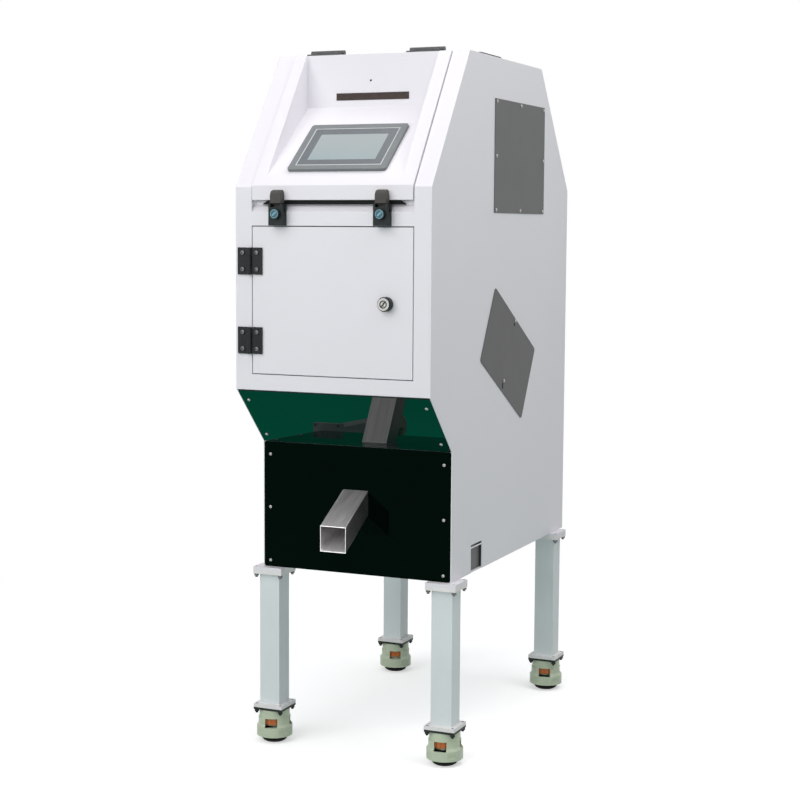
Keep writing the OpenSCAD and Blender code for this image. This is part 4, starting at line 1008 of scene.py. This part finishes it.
class SORTER_OT_screws(SorterOperator, bpy.types.Operator):
    """Models the screw heads and sets them on the covers, panels and hinges"""

    bl_idname = "sorter.screws"
    bl_label = "Screws"

    def execute(self, context):
        cross = pan_screw("cross_screw", sizes().cover_screw, "cross")
        socket = pan_screw("socket_screw", sizes().hinge_screw, "hex")
        inset = sizes().cover_inset

        low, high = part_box("upper_side_cover")
        ys = (low.y + inset, (low.y + high.y) / 2, high.y - inset)
        rise = sizes().cover_rise
        zs = (low.z + rise, (low.z + high.z) / 2, high.z - rise)
        cover = [
            (Vector((high.x, y, z)), RIGHT)
            for y in ys for z in zs if not (y == ys[1] and z == zs[1])
        ]
        cover += [(place(COVER_FACE_X, y, z), RIGHT) for y, z in SLANTED_COVER_SCREWS]

        window_low, window_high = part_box("green_window")
        slope = Vector((0, -(window_high.z - window_low.z), -(window_high.y - window_low.y)))
        slope.normalize()
        panel = []
        for x in (-PANEL_SCREW_X, PANEL_SCREW_X):
            panel += [(place(x, y, z), slope) for y, z in WINDOW_SCREWS]
            panel += [(place(x, PANEL_Y, z), FORWARD) for z in PANEL_SCREW_Z]

        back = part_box("rear_panel")[1].y
        rear = [
            (Vector((x * MM, back, z * MM)), BACKWARD)
            for x in (-REAR_SCREW_X, REAR_SCREW_X) for z in REAR_SCREW_Z
        ]
        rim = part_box("top_panel")[1].z + INLET_FLANGE_RISE * MM
        flange = [
            (Vector((x * MM, FRONT_Y + y * MM, rim)), UP) for x, y in INLET_FLANGE_SCREWS
        ]
        finish(copies(cross, "cover_screws", cover), "cabinet", zinc())
        finish(copies(cross, "panel_screws", panel), "cabinet", zinc())
        finish(copies(cross, "rear_screws", rear + flange), "cabinet", zinc())

        frame_spots, door_spots = (
            [
                (place(x, -DOOR_HINGE_RISE, z + step), FORWARD)
                for z in DOOR_HINGE_Z for step in (-DOOR_HINGE_STEP, DOOR_HINGE_STEP)
            ]
            for x in (DOOR_HINGE_FRAME_X, DOOR_HINGE_DOOR_X)
        )
        leaf_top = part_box("top_panel")[1].z + HOOD_HINGE_RISE * MM
        top_spots, hood_spots = (
            [
                (Vector(((x + step) * MM, FRONT_Y + y * MM, leaf_top)), UP)
                for x in HOOD_HINGE_X for step in (-HOOD_HINGE_STEP, HOOD_HINGE_STEP)
            ]
            for y in (HOOD_HINGE_TOP_Y, HOOD_HINGE_HOOD_Y)
        )
        finish(copies(socket, "hinge_frame_screws", frame_spots), "cabinet", dark_zinc_and_shade())
        finish(copies(socket, "hinge_top_screws", top_spots), "cabinet", hood_hinge())
        finish(copies(socket, "hinge_door_screws", door_spots), "door", dark_zinc_and_shade())
        finish(copies(socket, "hinge_hood_screws", hood_spots), "hood", hood_hinge())
        for master in (cross, socket):
            bpy.data.objects.remove(master)
        return {"FINISHED"}


# Studio


def ray_share(tree):
    """1 for camera, glossy and transmitted rays, 0 for the rays that light the object."""
    path = tree.nodes.new("ShaderNodeLightPath")
    share = path.outputs["Is Camera Ray"]
    for kind in ("Is Glossy Ray", "Is Transmission Ray"):
        larger = tree.nodes.new("ShaderNodeMath")
        larger.operation = "MAXIMUM"
        tree.links.new(share, larger.inputs[0])
        tree.links.new(path.outputs[kind], larger.inputs[1])
        share = larger.outputs["Value"]
    return share


def add_lamp(name, spot, target, size, power):
    take()
    bpy.ops.object.light_add(type="AREA", location=spot)
    lamp = bpy.context.object
    lamp.name = name
    lamp.data.size = size
    lamp.data.energy = power
    lamp.visible_camera = False
    lamp.rotation_euler = (target - spot).to_track_quat("-Z", "Y").to_euler()


def paint_world():
    world = bpy.data.worlds.new("studio")
    bpy.context.scene.world = world
    world.use_nodes = True
    tree = world.node_tree
    shown = tree.nodes["Background"]
    shown.inputs["Color"].default_value = (1.0, 1.0, 1.0, 1.0)
    lit = tree.nodes.new("ShaderNodeBackground")
    lit.inputs["Color"].default_value = WORLD_LIGHT
    lit.inputs["Strength"].default_value = WORLD_STRENGTH
    mix = tree.nodes.new("ShaderNodeMixShader")
    tree.links.new(ray_share(tree), mix.inputs["Fac"])
    tree.links.new(lit.outputs["Background"], mix.inputs[1])
    tree.links.new(shown.outputs["Background"], mix.inputs[2])
    tree.links.new(mix.outputs["Shader"], tree.nodes["World Output"].inputs["Surface"])


def paint_floor(floor):
    """White paper for the camera, with the shadow near the object, and a greyer one for light."""
    made = bpy.data.materials.new("studio_floor")
    made.use_nodes = True
    tree = made.node_tree
    tree.nodes.remove(tree.nodes["Principled BSDF"])
    paper = tree.nodes.new("ShaderNodeBsdfDiffuse")
    paper.inputs["Color"].default_value = PAPER
    lift = tree.nodes.new("ShaderNodeEmission")
    lift.inputs["Strength"].default_value = PAPER_GLOW
    both = tree.nodes.new("ShaderNodeAddShader")
    tree.links.new(paper.outputs["BSDF"], both.inputs[0])
    tree.links.new(lift.outputs["Emission"], both.inputs[1])
    distance = tree.nodes.new("ShaderNodeVectorMath")
    distance.operation = "LENGTH"
    tree.links.new(tree.nodes.new("ShaderNodeTexCoord").outputs["Object"], distance.inputs[0])
    far = tree.nodes.new("ShaderNodeMapRange")
    far.inputs["From Min"].default_value = SHADOW_REACH[0]
    far.inputs["From Max"].default_value = SHADOW_REACH[1]
    tree.links.new(distance.outputs["Value"], far.inputs["Value"])
    white = tree.nodes.new("ShaderNodeEmission")
    shown = tree.nodes.new("ShaderNodeMixShader")
    tree.links.new(far.outputs["Result"], shown.inputs["Fac"])
    tree.links.new(both.outputs["Shader"], shown.inputs[1])
    tree.links.new(white.outputs["Emission"], shown.inputs[2])
    green = tree.nodes.new("ShaderNodeEmission")
    green.inputs["Color"].default_value = (*colours().floor_green, 1.0)
    green.inputs["Strength"].default_value = GREEN_GLOW
    near = tree.nodes.new("ShaderNodeMath")
    near.operation = "SUBTRACT"
    near.use_clamp = True
    tree.links.new(tree.nodes.new("ShaderNodeLightPath").outputs["Is Singular Ray"], near.inputs[0])
    tree.links.new(far.outputs["Result"], near.inputs[1])
    mirrored = tree.nodes.new("ShaderNodeMixShader")
    tree.links.new(near.outputs["Value"], mirrored.inputs["Fac"])
    tree.links.new(shown.outputs["Shader"], mirrored.inputs[1])
    tree.links.new(green.outputs["Emission"], mirrored.inputs[2])
    grey = tree.nodes.new("ShaderNodeBsdfDiffuse")
    grey.inputs["Color"].default_value = FLOOR_LIGHT
    mix = tree.nodes.new("ShaderNodeMixShader")
    tree.links.new(ray_share(tree), mix.inputs["Fac"])
    tree.links.new(grey.outputs["BSDF"], mix.inputs[1])
    tree.links.new(mirrored.outputs["Shader"], mix.inputs[2])
    tree.links.new(mix.outputs["Shader"], tree.nodes["Material Output"].inputs["Surface"])
    floor.data.materials.append(made)


def add_camera():
    """The camera at the photograph's viewing angle."""
    yaw, pitch, roll = (math.radians(angle) for angle in CAMERA_TURN)
    side = Vector((math.cos(yaw), math.sin(yaw), 0))
    level = Vector((-math.sin(yaw), math.cos(yaw), 0))
    ahead = level * math.cos(pitch) + UP * math.sin(pitch)
    top = side.cross(ahead)
    across = side * math.cos(roll) + top * math.sin(roll)
    above = top * math.cos(roll) - side * math.sin(roll)
    take()
    bpy.ops.object.camera_add()
    camera = bpy.context.object
    camera.name = "photo_camera"
    camera.data.sensor_width = 36.0
    camera.data.lens = camera.data.sensor_width * FOCAL_PIXELS / PHOTO_PIXELS
    camera.data.clip_end = 200.0
    turn = Matrix((across, above, -ahead)).transposed().to_4x4()
    camera.matrix_world = Matrix.Translation(place(*CAMERA_SPOT)) @ turn
    bpy.context.scene.camera = camera


class SORTER_OT_stage(SorterOperator, bpy.types.Operator):
    """Sets up the pale floor, the soft light and the camera"""

    bl_idname = "sorter.stage"
    bl_label = "Studio"

    def execute(self, context):
        take()
        bpy.ops.mesh.primitive_plane_add(size=FLOOR_SIZE)
        floor = named("studio_floor")
        paint_floor(floor)
        paint_world()
        for name, (spot, size, power) in LAMPS.items():
            add_lamp(name, spot, LAMP_AIM, size, power)
        add_camera()
        context.scene.view_settings.view_transform = "Standard"
        return {"FINISHED"}


class SORTER_PT_panel(bpy.types.Panel):
    """Lists the steps and settings in the sidebar"""

    bl_label = "Colour sorter"
    bl_idname = "SORTER_PT_panel"
    bl_space_type = "VIEW_3D"
    bl_region_type = "UI"
    bl_category = "Sorter"

    def draw(self, context):
        for step in STEPS:
            self.layout.operator(step.bl_idname)
        for group in (context.scene.sorter_sizes, context.scene.sorter_colours):
            for key in group.__annotations__:
                self.layout.prop(group, key)


STEPS = (
    SORTER_OT_cabinet, SORTER_OT_front_panels, SORTER_OT_covers, SORTER_OT_spout, SORTER_OT_hood,
    SORTER_OT_display, SORTER_OT_latches, SORTER_OT_door, SORTER_OT_hinges, SORTER_OT_legs,
    SORTER_OT_casters, SORTER_OT_feeding, SORTER_OT_sorting, SORTER_OT_screws, SORTER_OT_stage,
)
CLASSES = (SorterSizes, SorterColours, *STEPS, SORTER_PT_panel)


def register():
    for made in CLASSES:
        bpy.utils.register_class(made)
    bpy.types.Scene.sorter_sizes = PointerProperty(type=SorterSizes)
    bpy.types.Scene.sorter_colours = PointerProperty(type=SorterColours)


def unregister():
    del bpy.types.Scene.sorter_colours
    del bpy.types.Scene.sorter_sizes
    for made in reversed(CLASSES):
        bpy.utils.unregister_class(made)


def main():
    register()
    bpy.ops.sorter.cabinet()
    bpy.ops.sorter.front_panels()
    bpy.ops.sorter.covers()
    bpy.ops.sorter.spout()
    bpy.ops.sorter.hood()
    bpy.ops.sorter.display()
    bpy.ops.sorter.latches()
    bpy.ops.sorter.door()
    bpy.ops.sorter.hinges()
    bpy.ops.sorter.legs()
    bpy.ops.sorter.casters()
    bpy.ops.sorter.feeding()
    bpy.ops.sorter.sorting()
    bpy.ops.sorter.screws()
    bpy.ops.sorter.stage()


if __name__ == "__main__":
    main()
